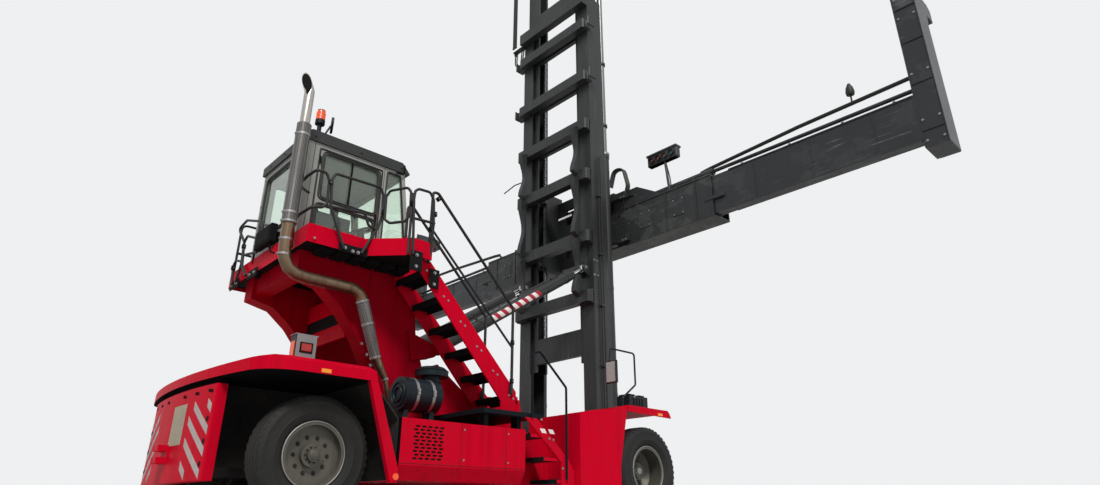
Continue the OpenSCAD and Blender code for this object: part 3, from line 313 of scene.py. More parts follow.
def finish(name, colour, rough=0.4, metal=0.0, coat=0.0, dust=0.25, streaks=0.2, shade=None, scratch=0.0,
           stretch=(30.0, 30.0, 1.0), bare=BARE, bump=0.05, specular=0.35, patched=None, dirt=DUST):
    """A worn finish in one colour."""
    made = bpy.data.materials.new(name)
    made.use_nodes = True
    tree = made.node_tree
    shader = tree.nodes["Principled BSDF"]
    for key, value in (("Metallic", metal), ("Coat Weight", coat), ("Coat Roughness", 0.2),
                       ("Specular IOR Level", specular)):
        shader.inputs[key].default_value = value
    base = (*colour, 1)
    dark = (*(shade or [c * 0.45 for c in colour]), 1)
    worn = add_node(tree, "ShaderNodeGroup", node_tree=weather)
    for key, value in (("Color", base), ("Dust", dust), ("Streaks", streaks), ("Shade Color", dark),
                       ("Dust Color", dirt)):
        worn.inputs[key].default_value = value
    if patched:
        under = add_node(tree, "ShaderNodeGroup", node_tree=touch_up)
        under.inputs["Color"].default_value = base
        under.inputs["Patch Color"].default_value = (*patched, 1)
        feed(tree, under.outputs[0], worn.inputs["Color"])
    result = worn.outputs["Color"]
    mask = worn.outputs["Mask"]
    if scratch:
        scraped = add_node(tree, "ShaderNodeGroup", node_tree=scrapes)
        for key, value in (("Amount", scratch), ("Stretch", stretch), ("Bare Color", bare),
                           ("Color", result)):
            feed(tree, value, scraped.inputs[key])
        result = scraped.outputs["Color"]
        mask = math_node(tree, "MAXIMUM", mask, scraped.outputs["Mask"])
    feed(tree, result, shader.inputs["Base Color"])
    rougher = math_node(tree, "MULTIPLY", mask, 0.35)
    feed(tree, math_node(tree, "ADD", rougher, rough, clamp=True), shader.inputs["Roughness"])
    relief = add_node(tree, "ShaderNodeBump", [("Height", worn.outputs["Height"]), ("Strength", bump),
                                               ("Distance", 0.002)])
    feed(tree, relief.outputs[0], shader.inputs["Normal"])
    finishes[name] = made
    return made


# %% [markdown]
# Two reds and several blacks make most of the machine. The tower's red is a darker copy: painted
# shade, as the tower stands in the platform's shadow. The beams are scraped the most, along their
# length, since containers rub there.

# %% Paints
ALONG_Y = (30.0, 1.0, 30.0)
RED = (0.60, 0.0008, 0.020)
red_paint = finish("red_paint", RED, 0.42, dust=0.22, streaks=0.25, shade=(0.18, 0.0008, 0.007),
                   specular=0.03, dirt=(0.19, 0.025, 0.025, 1))
# Painted shade: the tower's red, streak and dust colours are darker for the platform's shadow.
finish("tower_red_painted_shade", (0.40, 0.0008, 0.014), 0.5, dust=0.3, streaks=0.35, shade=(0.12, 0.0008, 0.006),
       specular=0.02, dirt=(0.12, 0.02, 0.02, 1))
finish("warning_red", (0.42, 0.01, 0.03), 0.5, dust=0.3)
finish("black_paint", (0.020, 0.023, 0.024), 0.44, dust=0.22, streaks=0.25, shade=(0.008, 0.009, 0.009),
       scratch=0.35)
finish("spreader_paint", (0.021, 0.024, 0.026), 0.46, dust=0.3, streaks=0.25, shade=(0.009, 0.010, 0.010),
       scratch=0.5, stretch=ALONG_Y, patched=(0.045, 0.050, 0.052))
finish("beam_paint", (0.018, 0.022, 0.025), dust=0.2, shade=(0.008, 0.009, 0.010), scratch=0.9,
       stretch=(26.0, 0.8, 26.0), bare=(0.42, 0.45, 0.48, 1), patched=(0.03, 0.034, 0.037))
finish("deep_black", (0.006, 0.006, 0.007), 0.85, dust=0.12, streaks=0.1, specular=0.12)
finish("grey_paint", (0.33, 0.34, 0.32), 0.42, coat=0.1, dust=0.2, streaks=0.25)
finish("roof_paint", (0.022, 0.025, 0.026), 0.55)
finish("rim_paint", (0.085, 0.083, 0.068), 0.42, metal=0.3, dust=0.35, streaks=0.35, scratch=0.3,
       stretch=(9.0, 9.0, 9.0))
finish("white_paint", (0.86, 0.84, 0.83), 0.45, streaks=0.15)
finish("cream_plate", (0.80, 0.76, 0.58), 0.5, dust=0.2, streaks=0.15)
print("paints:", len(finishes))

# %% [markdown]
# Bare metal shows its wear as dull patches. The exhaust has turned bronze from the heat, and its tip
# is still bright. Rubber, plastic and cloth hardly shine at all.

# %% Metals, rubber, plastic and cloth
finish("dark_metal", (0.012, 0.012, 0.013), 0.75, dust=0.3, streaks=0.3, specular=0.2)
finish("bright_steel", (0.72, 0.73, 0.75), 0.12, metal=1.0, dust=0.04, streaks=0.1, bump=0.0)
finish("tip_steel", (0.42, 0.40, 0.38), 0.26, metal=0.95, dust=0.15, streaks=0.5, shade=(0.16, 0.13, 0.10))
finish("rod_steel", (0.20, 0.205, 0.21), 0.28, metal=0.8, dust=0.2, streaks=0.5)
finish("worn_steel", (0.30, 0.30, 0.30), 0.42, metal=0.9, dust=0.3, streaks=0.3)
finish("bronze_steel", (0.19, 0.13, 0.085), 0.34, metal=0.9, dust=0.12, streaks=0.8,
       shade=(0.07, 0.045, 0.03))
finish("shield_steel", (0.17, 0.165, 0.16), 0.5, metal=0.6, dust=0.3, streaks=0.4)
finish("tyre_rubber", (0.014, 0.015, 0.015), 0.72, dust=0.14, streaks=0.0, bump=0.25, specular=0.25)
finish("seal_rubber", (0.012, 0.012, 0.013), 0.55, dust=0.15, streaks=0.0)
finish("plastic", (0.004, 0.009, 0.014), 0.42, dust=0.06, streaks=0.15, specular=0.2)
finish("seat_cloth", (0.03, 0.03, 0.034), 0.9, dust=0.1, streaks=0.0, bump=0.5)
finish("headliner", (0.62, 0.66, 0.58), 0.9, dust=0.1, streaks=0.0, bump=0.3)
print("finishes:", len(finishes))

# %% [markdown]
# A lens has a clear coat over a deep colour. A lens that isn't lit is much darker than one thinks.

# %% Lenses, mirrors and glass
for name, colour, rough, dust in (("amber_lens", (0.95, 0.30, 0.01), 0.25, 0.08),
                                  ("orange_lens", (0.93, 0.10, 0.015), 0.25, 0.08),
                                  ("red_lens", (0.38, 0.015, 0.008), 0.2, 0.05),
                                  ("green_lens", (0.01, 0.10, 0.06), 0.2, 0.2),
                                  ("red_lens_dim", (0.16, 0.01, 0.01), 0.2, 0.2),
                                  ("amber_dim", (0.14, 0.05, 0.01), 0.2, 0.2)):
    finish(name, colour, rough, coat=0.3, dust=dust, streaks=0.0)
finish("lamp_grey", (0.24, 0.25, 0.26), 0.5, dust=0.3, streaks=0.3)
finish("mirror_face", (0.80, 0.79, 0.76), 0.22, metal=0.55, dust=0.1, streaks=0.3, bump=0.0)
glass = bpy.data.materials.new("glass")
glass.use_nodes = True
tree = glass.node_tree
shader = tree.nodes["Principled BSDF"]
for key, value in (("Base Color", (0.88, 0.99, 0.90, 1)), ("IOR", 1.45), ("Transmission Weight", 0.95)):
    shader.inputs[key].default_value = value
film = ramp(tree, noise(tree, object_spot(tree), (1, 1, 0.4), 3.0, 4.0), 0.4, 0.9)
feed(tree, math_node(tree, "MULTIPLY", film, 0.12), shader.inputs["Roughness"])
finishes["glass"] = glass
print("finishes:", len(finishes))

# %% [markdown]
# The heat shields on the exhaust are perforated sheet. A Voronoi texture with no randomness makes an
# even grid of cells, and the middle of each cell is painted dark: painted shade where a hole would be.

# %% Perforated sheet
HOLE_SHADE = (0.01, 0.01, 0.01, 1)
perforated = finishes["shield_steel"].copy()
perforated.name = "perforated_steel"
finishes["perforated_steel"] = perforated
tree = perforated.node_tree
shader = tree.nodes["Principled BSDF"]
plain = shader.inputs["Base Color"].links[0].from_socket
cells = add_node(tree, "ShaderNodeTexVoronoi", [
    ("Vector", object_spot(tree)), ("Scale", 62.0), ("Randomness", 0.0)])
# Painted shade: each hole is a dark spot in the colour, not a cut.
hole_shade = ramp(tree, cells.outputs["Distance"], 0.42, 0.30)
feed(tree, mix_colour(tree, hole_shade, plain, HOLE_SHADE), shader.inputs["Base Color"])
print("perforated sheet ready")

# %% [markdown]
# Inside the wheel arches and under the decks the red solids lie in shadow, though each is one solid
# with the red outside. A mask on Object coordinates paints that shade: black and dull. The lower steps
# are the other way round: they are black, and only the thin plate at their side is red.

# %% Red paint with painted shade in black zones
SKIN = 0.002
TAIL_SHADE = 0.058
STEP_PLATE_Y = -1.900
STEP_PLATE_HALF = 0.0105
STEP_PLATE_TOP = 1.108


def masked_red(name, mask, tone, rougher=0.0):
    """The red paint with another tone where a mask on the Object coordinates is 1."""
    made = red_paint.copy()
    made.name = name
    finishes[name] = made
    tree = made.node_tree
    shader = tree.nodes["Principled BSDF"]
    inside = mask(tree, add_node(tree, "ShaderNodeSeparateXYZ", [("Vector", object_spot(tree))]).outputs)
    paint = shader.inputs["Base Color"].links[0].from_socket
    feed(tree, mix_colour(tree, inside, paint, tone), shader.inputs["Base Color"])
    if rougher:
        rough = shader.inputs["Roughness"].links[0].from_socket
        dull = math_node(tree, "ADD", rough, math_node(tree, "MULTIPLY", inside, rougher), clamp=True)
        feed(tree, dull, shader.inputs["Roughness"])


def red_with_painted_shade(name, axis, limit, operation="LESS_THAN"):
    """The red paint with painted shade: black and dull where one coordinate is below or above a limit."""
    # The black tone is painted shade.
    masked_red(name, lambda tree, spot: math_node(tree, operation, spot[axis], limit),
               (0.005, 0.005, 0.006, 1), 0.6)


def off_side_plate(tree, spot):
    """A mask for all of the lower steps but their side plate."""
    wires = [(0, spot["Y"]), (1, STEP_PLATE_Y), (2, STEP_PLATE_HALF)]
    near = add_node(tree, "ShaderNodeMath", wires, operation="COMPARE").outputs[0]
    plate = math_node(tree, "MULTIPLY", near, math_node(tree, "LESS_THAN", spot["Z"], STEP_PLATE_TOP))
    return math_node(tree, "SUBTRACT", 1.0, plate)


# Painted shade: black undersides of the deck, platform and fenders, the tail's strip under the deck, and
# the side boxes' faces in the wheel arches.
red_with_painted_shade("deck_red_painted_shade", "Z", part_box("rear_deck")[0].z + SKIN)
red_with_painted_shade("tail_red_painted_shade", "Z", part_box("rear_deck")[0].z - TAIL_SHADE, "GREATER_THAN")
red_with_painted_shade("side_box_red_painted_shade", "X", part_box("side_boxes")[0].x + SKIN)
red_with_painted_shade("platform_red_painted_shade", "Z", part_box("platform")[0].z + SKIN)
red_with_painted_shade("fender_red_painted_shade", "Z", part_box("front_fenders")[0].z + SKIN)
masked_red("step_finish", off_side_plate, (0.010, 0.014, 0.017, 1))
print("black zones made")

# %% [markdown]
# Each solid now gets its finish. The table is plain: the finish first, then the solids that wear it.

# %% Dress the solids
WEARS = {
    "dark_metal": ["frame_rails", "front_axle", "rear_axle", "knuckle_right", "knuckle_left",
                   "engine_block"],
    "red_paint": ["front_boxes", "mast_carriers", "arch_bands", "engine_hood", "stairs"],
    # The tower's darker red is painted shade.
    "tower_red_painted_shade": ["cab_tower"],
    # These reds carry painted shade in black zones.
    "tail_red_painted_shade": ["counterweight"],
    "deck_red_painted_shade": ["rear_deck"],
    "side_box_red_painted_shade": ["side_boxes"],
    "fender_red_painted_shade": ["front_fenders"],
    "platform_red_painted_shade": ["platform"],
    "black_paint": ["outer_posts", "outer_bars", "inner_posts", "inner_bars", "lift_barrels", "carriage",
                    "tilt_barrel_right", "tilt_barrel_left"],
    "spreader_paint": ["spreader_frame"],
    "beam_paint": ["beam_right", "beam_left"],
    "seal_rubber": ["platform_rails", "stair_rails"],
    "step_finish": ["lower_steps"],
    "plastic": ["air_cleaner", "lamps", "mirrors", "console"],
    "grey_paint": ["cab_shell", "cab_door"],
    "roof_paint": ["cab_roof"],
    "glass": ["cab_glass", "door_glass"],
    "seat_cloth": ["seat"],
    "bronze_steel": ["exhaust"],
    "tyre_rubber": ["rear_tyre_right", "rear_tyre_left", "front_tyres_right", "front_tyres_left"],
    "rim_paint": ["rear_rim_right", "rear_rim_left", "front_rims_right", "front_rims_left"],
    "bright_steel": ["tilt_rod_right", "tilt_rod_left"],
    "rod_steel": ["lift_rods"],
}
for look, solids in WEARS.items():
    for solid in solids:
        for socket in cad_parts[solid].material_slots:
            socket.material = finishes[look]
print("dressed:", sum(len(solids) for solids in WEARS.values()))

# %% [markdown]
# New pieces start as a bmesh. A few small helpers lay down the shapes that a fitter would recognise.
# The first ones are square: a slab or a block with its edges broken, and a plate cut to an outline.

# %% Helpers: frames, slabs, blocks and plates
RIGHT = (0, -1, 0)
BACK = (-1, 0, 0)
UP = (0, 0, 1)
SIDES = ((-1, "right"), (1, "left"))


def blanks(count):
    """So many empty meshes, one for each finish of a piece."""
    return [bmesh.new() for _ in range(count)]


def facing(spot, out):
    """A frame at a spot: its Z axis looks outwards and its Y axis stays as upright as it can."""
    z = Vector(out).normalized()
    up = Vector(UP) if abs(z.z) < 0.9 else Vector((1, 0, 0))
    x = up.cross(z).normalized()
    turn = Matrix((x, z.cross(x), z)).transposed().to_4x4()
    return Matrix.Translation(Vector(spot)) @ turn


def corners_of(made):
    """The corner points in what a bmesh operator made."""
    return [v for v in made if isinstance(v, bmesh.types.BMVert)]


def edges_of(parts):
    """The edges that a few corners touch."""
    return {e for v in parts for e in v.link_edges}


def break_edges(bm, edges, offset):
    """A small bevel, as every cut or cast edge has."""
    bmesh.ops.bevel(bm, geom=list(edges), offset=offset, segments=1, affect="EDGES", profile=0.5,
                    material=-1)


def add_slab(bm, place, size, edge=0.003):
    """A block with broken edges, centred on a frame."""
    made = bmesh.ops.create_cube(bm, size=1.0, matrix=place @ Matrix.Diagonal((*size, 1)))
    if edge:
        break_edges(bm, edges_of(made["verts"]), edge)


def add_box(bm, middle, size, edge=0.003):
    """A block with broken edges round its middle."""
    add_slab(bm, Matrix.Translation(middle), size, edge)


def add_block(bm, low, high, edge=0.003):
    """A block with broken edges between two corners."""
    low = Vector(low)
    high = Vector(high)
    add_box(bm, (low + high) / 2, high - low, edge)


def add_plate(bm, outline, place, thick):
    """A plate cut to an outline in a frame's XY plane and raised along its Z."""
    face = bm.faces.new([bm.verts.new(place @ Vector((x, y, 0))) for x, y in outline])
    raised = bmesh.ops.extrude_face_region(bm, geom=[face])["geom"]
    bmesh.ops.translate(bm, verts=corners_of(raised), vec=place.to_3x3() @ Vector((0, 0, thick)))


# %% [markdown]
# The round shapes come next: a straight or tapered bar, a part turned on a lathe, and a bolt head on
# its washer. A ring is a turned part whose profile is closed.

# %% Helpers: bars, turned parts, rings and bolts


def add_bar(bm, start, end, radius, tip=None, sides=16, edge=0.0):
    """A round bar, straight or tapered, between two points."""
    start = Vector(start)
    end = Vector(end)
    made = bmesh.ops.create_cone(bm, cap_ends=True, cap_tris=False, segments=sides, radius1=radius,
                                 radius2=radius if tip is None else tip, depth=(end - start).length,
                                 matrix=facing((start + end) / 2, end - start))
    if edge:
        caps = {f for v in made["verts"] for f in v.link_faces if len(f.verts) == sides}
        break_edges(bm, {e for f in caps for e in f.edges}, edge)


def add_turned(bm, profile, place, steps=48, closed=False):
    """A part turned round the Z axis of a frame, from a profile of radius and distance along it."""
    verts = [bm.verts.new(place @ Vector((radius, 0, along))) for radius, along in profile]
    edges = [bm.edges.new(pair) for pair in zip(verts, verts[1:])]
    if closed:
        edges.append(bm.edges.new((verts[-1], verts[0])))
    bmesh.ops.spin(bm, geom=verts + edges, cent=place.translation, axis=place.to_3x3() @ Vector(UP),
                   angle=math.tau, steps=steps, use_merge=True)


def add_ring(bm, spot, inner, outer, half, steps=32, out=UP):
    """A flat ring round a spot, so far to each side of it."""
    section = [(inner, -half), (outer, -half), (outer, half), (inner, half)]
    add_turned(bm, section, facing(spot, out), steps, closed=True)


def add_bolt(bm, spot, out, size=0.012):
    """A hexagon head on a washer; size is the head's radius."""
    place = facing(spot, out)
    for sides, radius, low, high in ((12, 1.4, 0.0, 0.25), (6, 1.0, 0.25, 0.95)):
        bmesh.ops.create_cone(bm, cap_ends=True, cap_tris=False, segments=sides, radius1=size * radius,
                              radius2=size * radius * 0.95, depth=size * (high - low),
                              matrix=place @ Matrix.Translation((0, 0, size * (low + high) / 2)))


# %% [markdown]
# A tube follows a route whose corners are rounded first. A curve with a round section gives the mesh,
# and the curve is thrown away again.

# %% Helpers: tubes


def rounded(points, bend, closed=False, steps=4):
    """The points of a route with each corner turned into a curve."""
    spots = [Vector(p) for p in points]
    count = len(spots)
    route = []
    for i, corner in enumerate(spots):
        if not closed and i in (0, count - 1):
            route.append(corner)
            continue
        back = spots[i - 1] - corner
        ahead = spots[(i + 1) % count] - corner
        half = back.angle(ahead) / 2
        reach = min(bend / max(math.tan(half), 0.01), back.length * 0.49, ahead.length * 0.49)
        start = corner + back.normalized() * reach
        end = corner + ahead.normalized() * reach
        for k in range(steps + 1):
            t = k / steps
            route.append(start * (1 - t) ** 2 + corner * 2 * t * (1 - t) + end * t ** 2)
    return route


def add_tube(bm, points, radius, bend=0.05, sides=8, closed=False):
    """A bent tube: a curve with a round section, turned into a mesh."""
    curve = bpy.data.curves.new("route", "CURVE")
    curve.dimensions = "3D"
    curve.bevel_depth = radius
    curve.bevel_resolution = sides // 2 - 2
    curve.use_fill_caps = not closed
    route = rounded(points, bend, closed)
    spline = curve.splines.new("POLY")
    spline.points.add(len(route) - 1)
    for knot, spot in zip(spline.points, route):
        knot.co = (*spot, 1)
    spline.use_cyclic_u = closed
    holder = bpy.data.objects.new("route", curve)
    mesh = bpy.data.meshes.new_from_object(holder)
    bm.from_mesh(mesh)
    bpy.data.objects.remove(holder)
    bpy.data.meshes.remove(mesh)
    bpy.data.curves.remove(curve)


# %% [markdown]
# `finished` turns the meshes of a piece into one object: it cleans them, moves them from the front
# axle to the frame's own place, gives each its finish, and hands the piece to the body it rides on.

# %% Helpers: mirror images and finished pieces


def add_mirrored(bm):
    """Doubles what the bmesh holds on the machine's other side."""
    copied = bmesh.ops.duplicate(bm, geom=bm.verts[:] + bm.edges[:] + bm.faces[:])["geom"]
    bmesh.ops.scale(bm, vec=(1, -1, 1), verts=corners_of(copied))


def finished(name, looks, body, crease=35.0):
    """Joins one bmesh per finish, moves them into the frame and makes a piece that rides on a body."""
    whole = bmesh.new()
    mesh = bpy.data.meshes.new(name)
    for number, (look, bm) in enumerate(looks.items()):
        bmesh.ops.remove_doubles(bm, verts=bm.verts, dist=0.00002)
        bmesh.ops.recalc_face_normals(bm, faces=bm.faces)
        bmesh.ops.translate(bm, verts=bm.verts, vec=(AXLE_X, 0, 0))
        for face in bm.faces:
            face.material_index = number
        bm.to_mesh(mesh)
        bm.free()
        whole.from_mesh(mesh)
        mesh.materials.append(finishes[look])
    whole.to_mesh(mesh)
    whole.free()
    mesh.shade_smooth()
    mesh.set_sharp_from_angle(angle=math.radians(crease))
    piece = bpy.data.objects.new(name, mesh)
    bpy.context.scene.collection.objects.link(piece)
    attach(piece, body)
    print(name, len(mesh.polygons), "faces")
    return piece


# %% [markdown]
# A heavy-duty tyre is moulded, so its tread, grooves and side rings all come off one lathe line. The
# shoulder cuts are the exception: they repeat round the tyre, so one small block is copied in a ring.

# %% Tyres
TREAD_TO_BEAD = [  # radius, distance from the middle plane
    (0.570, 0.028), (0.558, 0.030), (0.558, 0.042), (0.570, 0.044), (0.570, 0.080), (0.558, 0.082),
    (0.558, 0.094), (0.568, 0.096), (0.562, 0.116), (0.545, 0.137), (0.514, 0.147), (0.508, 0.152),
    (0.497, 0.152), (0.490, 0.149), (0.450, 0.153), (0.412, 0.154), (0.407, 0.159), (0.398, 0.159),
    (0.392, 0.154), (0.372, 0.150), (0.345, 0.134), (0.330, 0.121), (0.306, 0.105)]
SHOULDER_CUTS = 48
CUT_SIZE = (0.014, 0.030, 0.044)
CUT_RADIUS = 0.5430
CUT_ASIDE = 0.1180
CUT_LEAN = 42


def add_tyre(bm, place):
    """One tyre, with its axle along the frame's Z axis."""
    section = [(r, -t) for r, t in reversed(TREAD_TO_BEAD)] + TREAD_TO_BEAD
    add_turned(bm, section, place, steps=96, closed=True)
    for face in (-1, 1):
        for i in range(SHOULDER_CUTS):
            turn = Matrix.Rotation(math.tau * i / SHOULDER_CUTS, 4, "Z")
            lean = Matrix.Rotation(face * math.radians(CUT_LEAN), 4, "Y")
            spot = Matrix.Translation((CUT_RADIUS, 0, face * CUT_ASIDE))
            add_slab(bm, place @ turn @ spot @ lean, CUT_SIZE, 0)


for side, word in SIDES:
    for node, body, x, rows in (("rear_tyre_", "rear_wheel_", REAR_X, (REAR_Y,)),
                                ("front_tyres_", "front_wheels_", 0.0, (OUTER_Y, INNER_Y))):
        rubber = bmesh.new()
        for y in rows:
            add_tyre(rubber, facing((x, -side * y, WHEEL_Z), (0, side, 0)))
        name = node.replace("_tyre", "_tread") + word
        tread = finished(name, {"tyre_rubber": rubber}, body + word)
        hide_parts(node + word)

# %% [markdown]
# Each wheel is bolted on: ten nuts in a ring, a steel lock ring that holds the bead, and a hub cover
# with its own small bolts. The front wheels are dished inwards, so their nuts sit deep inside.

# %% Wheel nuts, lock rings and hub covers
NUTS = 10
NUT_CIRCLE = 0.172
LOCK_RINGS = ((0.314, 0.127, 0.008), (0.296, 0.118, 0.005))  # radius, distance, thickness
COVER = ((0.0, 0.012), (0.040, 0.010), (0.048, 0.004), (0.050, -0.01), (0.0, -0.01))
WHEELS = (  # body, x, y, disc and hub from the middle plane, circle and sink of the hub's bolts, finish
    ("rear_wheel_", REAR_X, REAR_Y, 0.040, 0.132, 0.073, 0.04, "rim_paint"),
    ("front_wheels_", 0.0, OUTER_Y, -0.175, -0.024, 0.062, 0.0, "lamp_grey"))
for side, word in SIDES:
    for body, x, y, disc, hub, circle, sink, look in WHEELS:
        out = (0, side, 0)
        wheel = facing((x, -side * y, WHEEL_Z), out)
        nuts, ring, cover = blanks(3)
        for i in range(NUTS):
            turn = wheel @ Matrix.Rotation(math.tau * i / NUTS, 4, "Z")
            add_bolt(nuts, turn @ Vector((NUT_CIRCLE, 0, disc)), out, 0.015)
            add_bolt(nuts, turn @ Vector((circle, 0, hub - sink)), out, 0.007)
        for radius, along, thick in LOCK_RINGS:
            octagon = [math.tau * k / 8 for k in range(8)]
            add_turned(ring, [(radius + thick * math.cos(a), along + thick * math.sin(a)) for a in octagon],
                       wheel, steps=64, closed=True)
        add_turned(cover, [(radius, hub + along) for radius, along in COVER], wheel, steps=32)
        looks = {"worn_steel": ring, "dark_metal": nuts, look: cover}
        finished(body + word + "_fittings", looks, body + word)

# %% [markdown]
# The tail carries painted warning bars. Paint follows the sheet, so each bar is a flat grid bent onto
# the tail's own curve and made a millimetre or two thick.

# %% Patches that follow the curved tail
TAIL_BEND = 7.0
TAIL_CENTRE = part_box("rear_deck")[0].x + 0.015 - AXLE_X + TAIL_BEND


def tail_x(y, proud=0.0):
    """Where the tail's curved face lies at a distance from the middle."""
    return TAIL_CENTRE - math.sqrt(TAIL_BEND ** 2 - y ** 2) - proud


def add_patch(bm, corners, proud=0.0015):
    """A thin patch on the tail between four corners, each a pair of y and z."""
    a, b, c, d = (Vector(corner) for corner in corners)
    grid = bmesh.ops.create_grid(bm, x_segments=8, y_segments=1, size=0.5)
    for vert in grid["verts"]:
        s = vert.co.x + 0.5
        y, z = a.lerp(b, s).lerp(d.lerp(c, s), vert.co.y + 0.5)
        vert.co = (tail_x(y, proud), y, z)
    faces = list({f for v in grid["verts"] for f in v.link_faces})
    bmesh.ops.solidify(bm, geom=faces, thickness=proud * 0.8)


print("tail bend", TAIL_BEND, "m")

# %% [markdown]
# The bars slope down towards the sides. Each is cut off where it meets the edge of the painted field.

# %% Warning bars, painted shade of holes, and plate on the curved tail
PAINT_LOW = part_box("counterweight")[0].z + 0.012
PAINT_TOP = 1.10
BAR_INNER = -0.50
BAR_OUTER = -0.972
BAR_SLOPE = 0.70
BAR_TALL = 0.085
bars, tail_hole_shade, plate = blanks(3)
for start in (1.37, 1.16, 0.96, 0.75, 0.53):
    inner = min(BAR_INNER, BAR_INNER - (start - PAINT_TOP) / BAR_SLOPE)
    outer = max(BAR_OUTER, BAR_INNER - (start - BAR_TALL - PAINT_LOW) / BAR_SLOPE)
    tops = [start + BAR_SLOPE * (y - BAR_INNER) for y in (inner, outer)]
    add_patch(bars, [(inner, tops[0] - BAR_TALL), (outer, tops[1] - BAR_TALL), (outer, tops[1]),
                     (inner, tops[0])])
add_mirrored(bars)
# The holes and slots are black discs and strips: painted shade where the tail is open.
for y in (-0.93, 0.93):
    for z in (0.90, 0.69, 0.48):
        add_bar(tail_hole_shade, (tail_x(y, 0.004), y, z), (tail_x(y, -0.02), y, z), 0.027, sides=20)
for y in (-0.9, -0.6, -0.28, 0.28, 0.6, 0.9):
    add_patch(tail_hole_shade, [(y - 0.05, 1.150), (y + 0.05, 1.165), (y + 0.05, 1.195), (y - 0.05, 1.180)])
add_patch(plate, [(-0.03, 0.69), (-0.40, 0.69), (-0.40, 1.09), (-0.03, 1.09)], 0.003)
for y in (-0.37, -0.06):
    for z in (0.72, 1.06):
        add_bolt(plate, (tail_x(y, 0.003), y, z), BACK, 0.006)
finished("tail_markings", {"white_paint": bars, "deep_black": tail_hole_shade, "cream_plate": plate}, "chassis")

# %% [markdown]
# Lamps and reflectors are small, but the eye looks for them. Each one is a lens in a housing: the box
# lamp on the rear deck has a red lens in its side and an orange one behind.

# %% Deck lamp, side markers and reflectors
FENDER_MIDDLE = 1.925
SLOTS_Y = 2.04281
housings_and_slot_shade, grey, red, orange, amber = blanks(5)
for bm, low, high, edge in (
        (grey, (-4.675, -1.268, 1.46), (-4.455, -1.258, 1.79), 0.004),
        (housings_and_slot_shade, (-4.635, -1.276, 1.60), (-4.495, -1.266, 1.71), 0.002),
        (red, (-4.620, -1.282, 1.615), (-4.510, -1.272, 1.695), 0.004),
        (orange, (-4.688, -1.240, 1.50), (-4.676, -1.150, 1.72), 0.004),
        (grey, (-4.69, -1.268, 1.785), (-4.44, -1.12, 1.797), 0.003),
        (amber, (-4.63, -1.856, 1.308), (-4.53, -1.848, 1.346), 0.002),
        (amber, (0.20, -2.146, 1.302), (0.30, -2.138, 1.338), 0.002)):
    add_block(bm, low, high, edge)
add_bar(orange, (-3.725, -1.848, 0.385), (-3.725, -1.862, 0.385), 0.032, sides=20)
add_mirrored(orange)
add_mirrored(amber)
for side in (-1, 1):
    y = side * FENDER_MIDDLE
    for x in (-0.21, -0.01):
        add_box(housings_and_slot_shade, (x + 0.010, y, 1.562), (0.130, 0.20, 0.020), 0.006)
    for z in (1.42, 1.50):
        add_box(grey, (0.113, y, z), (0.010, 0.150, 0.052), 0.006)
    # The fender's grille slots are black strips: painted shade in the openings.
    for x in (-0.20, -0.14, -0.08, -0.02):
        add_box(housings_and_slot_shade, (x + 0.010, side * SLOTS_Y, 1.47), (0.020, 0.008, 0.10), 0.002)
    add_bolt(grey, (-0.18, side * 2.042, 1.53), (0, side, 0), 0.012)
finished("lamp_lenses", {"deep_black": housings_and_slot_shade, "lamp_grey": grey, "red_lens": red, "orange_lens": orange,
                         "amber_lens": amber}, "chassis")

# %% [markdown]
# The vents in the side box are real cuts, but shallow, so a black sheet at their bottom is painted shade.
# Doors are told apart by their seams: a thin dark line with two bolts beside it.

# %% Side boxes: vents, seams and bolts
VENT_DEPTH = 0.0112
black, heads = blanks(2)
for side in (-1, 1):
    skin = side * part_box("side_boxes")[1].y
    # Painted shade: a black sheet deep in each vent.
    add_box(black, (-3.355, skin - side * VENT_DEPTH, 0.7375), (0.41, 0.0016, 0.375), 0)
    for x in (-2.93, -2.30):
        add_box(black, (x, skin, 0.734), (0.006, 0.002, 0.468), 0)
        for z in (0.58, 0.90):
            add_bolt(heads, (x + 0.035, skin, z), (0, side, 0), 0.008)
    add_box(black, (-2.85, skin, 0.5175), (1.68, 0.002, 0.005), 0)
finished("side_box_details", {"deep_black": black, "worn_steel": heads}, "chassis")

# %% [markdown]
# Exhaust gas leaves the engine in a thin pipe, swells into a perforated muffler, turns twice and goes
# up behind the cab inside a shield. Heat has browned the bare pipe. Clamps join the lengths, and the
# tail pipe's mouth is cut at a slant so that rain stays out.

# %% Exhaust
EXHAUST_Y = -1.0
RISER_X = -4.85
MOUTH_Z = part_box("exhaust")[1].z
MOUTH_OUT = Vector((-0.66, -0.74, 0.12)).normalized()
CLAMP_HALF = 0.014


def exhaust_point(x, z):
    """A point on the exhaust's own upright plane."""
    return Vector((x, EXHAUST_Y, z))


def exhaust_route(*pairs):
    """Points on the exhaust's own upright plane."""
    return [exhaust_point(*pair) for pair in pairs]


def add_clamp(bm, spot, along, radius, sides, out):
    """A clamp round a pipe, with its bolt."""
    add_bar(bm, spot - along * CLAMP_HALF, spot + along * CLAMP_HALF, radius, None, sides, 0.002)
    add_bolt(bm, spot + Vector(out) * radius, out, 0.012)


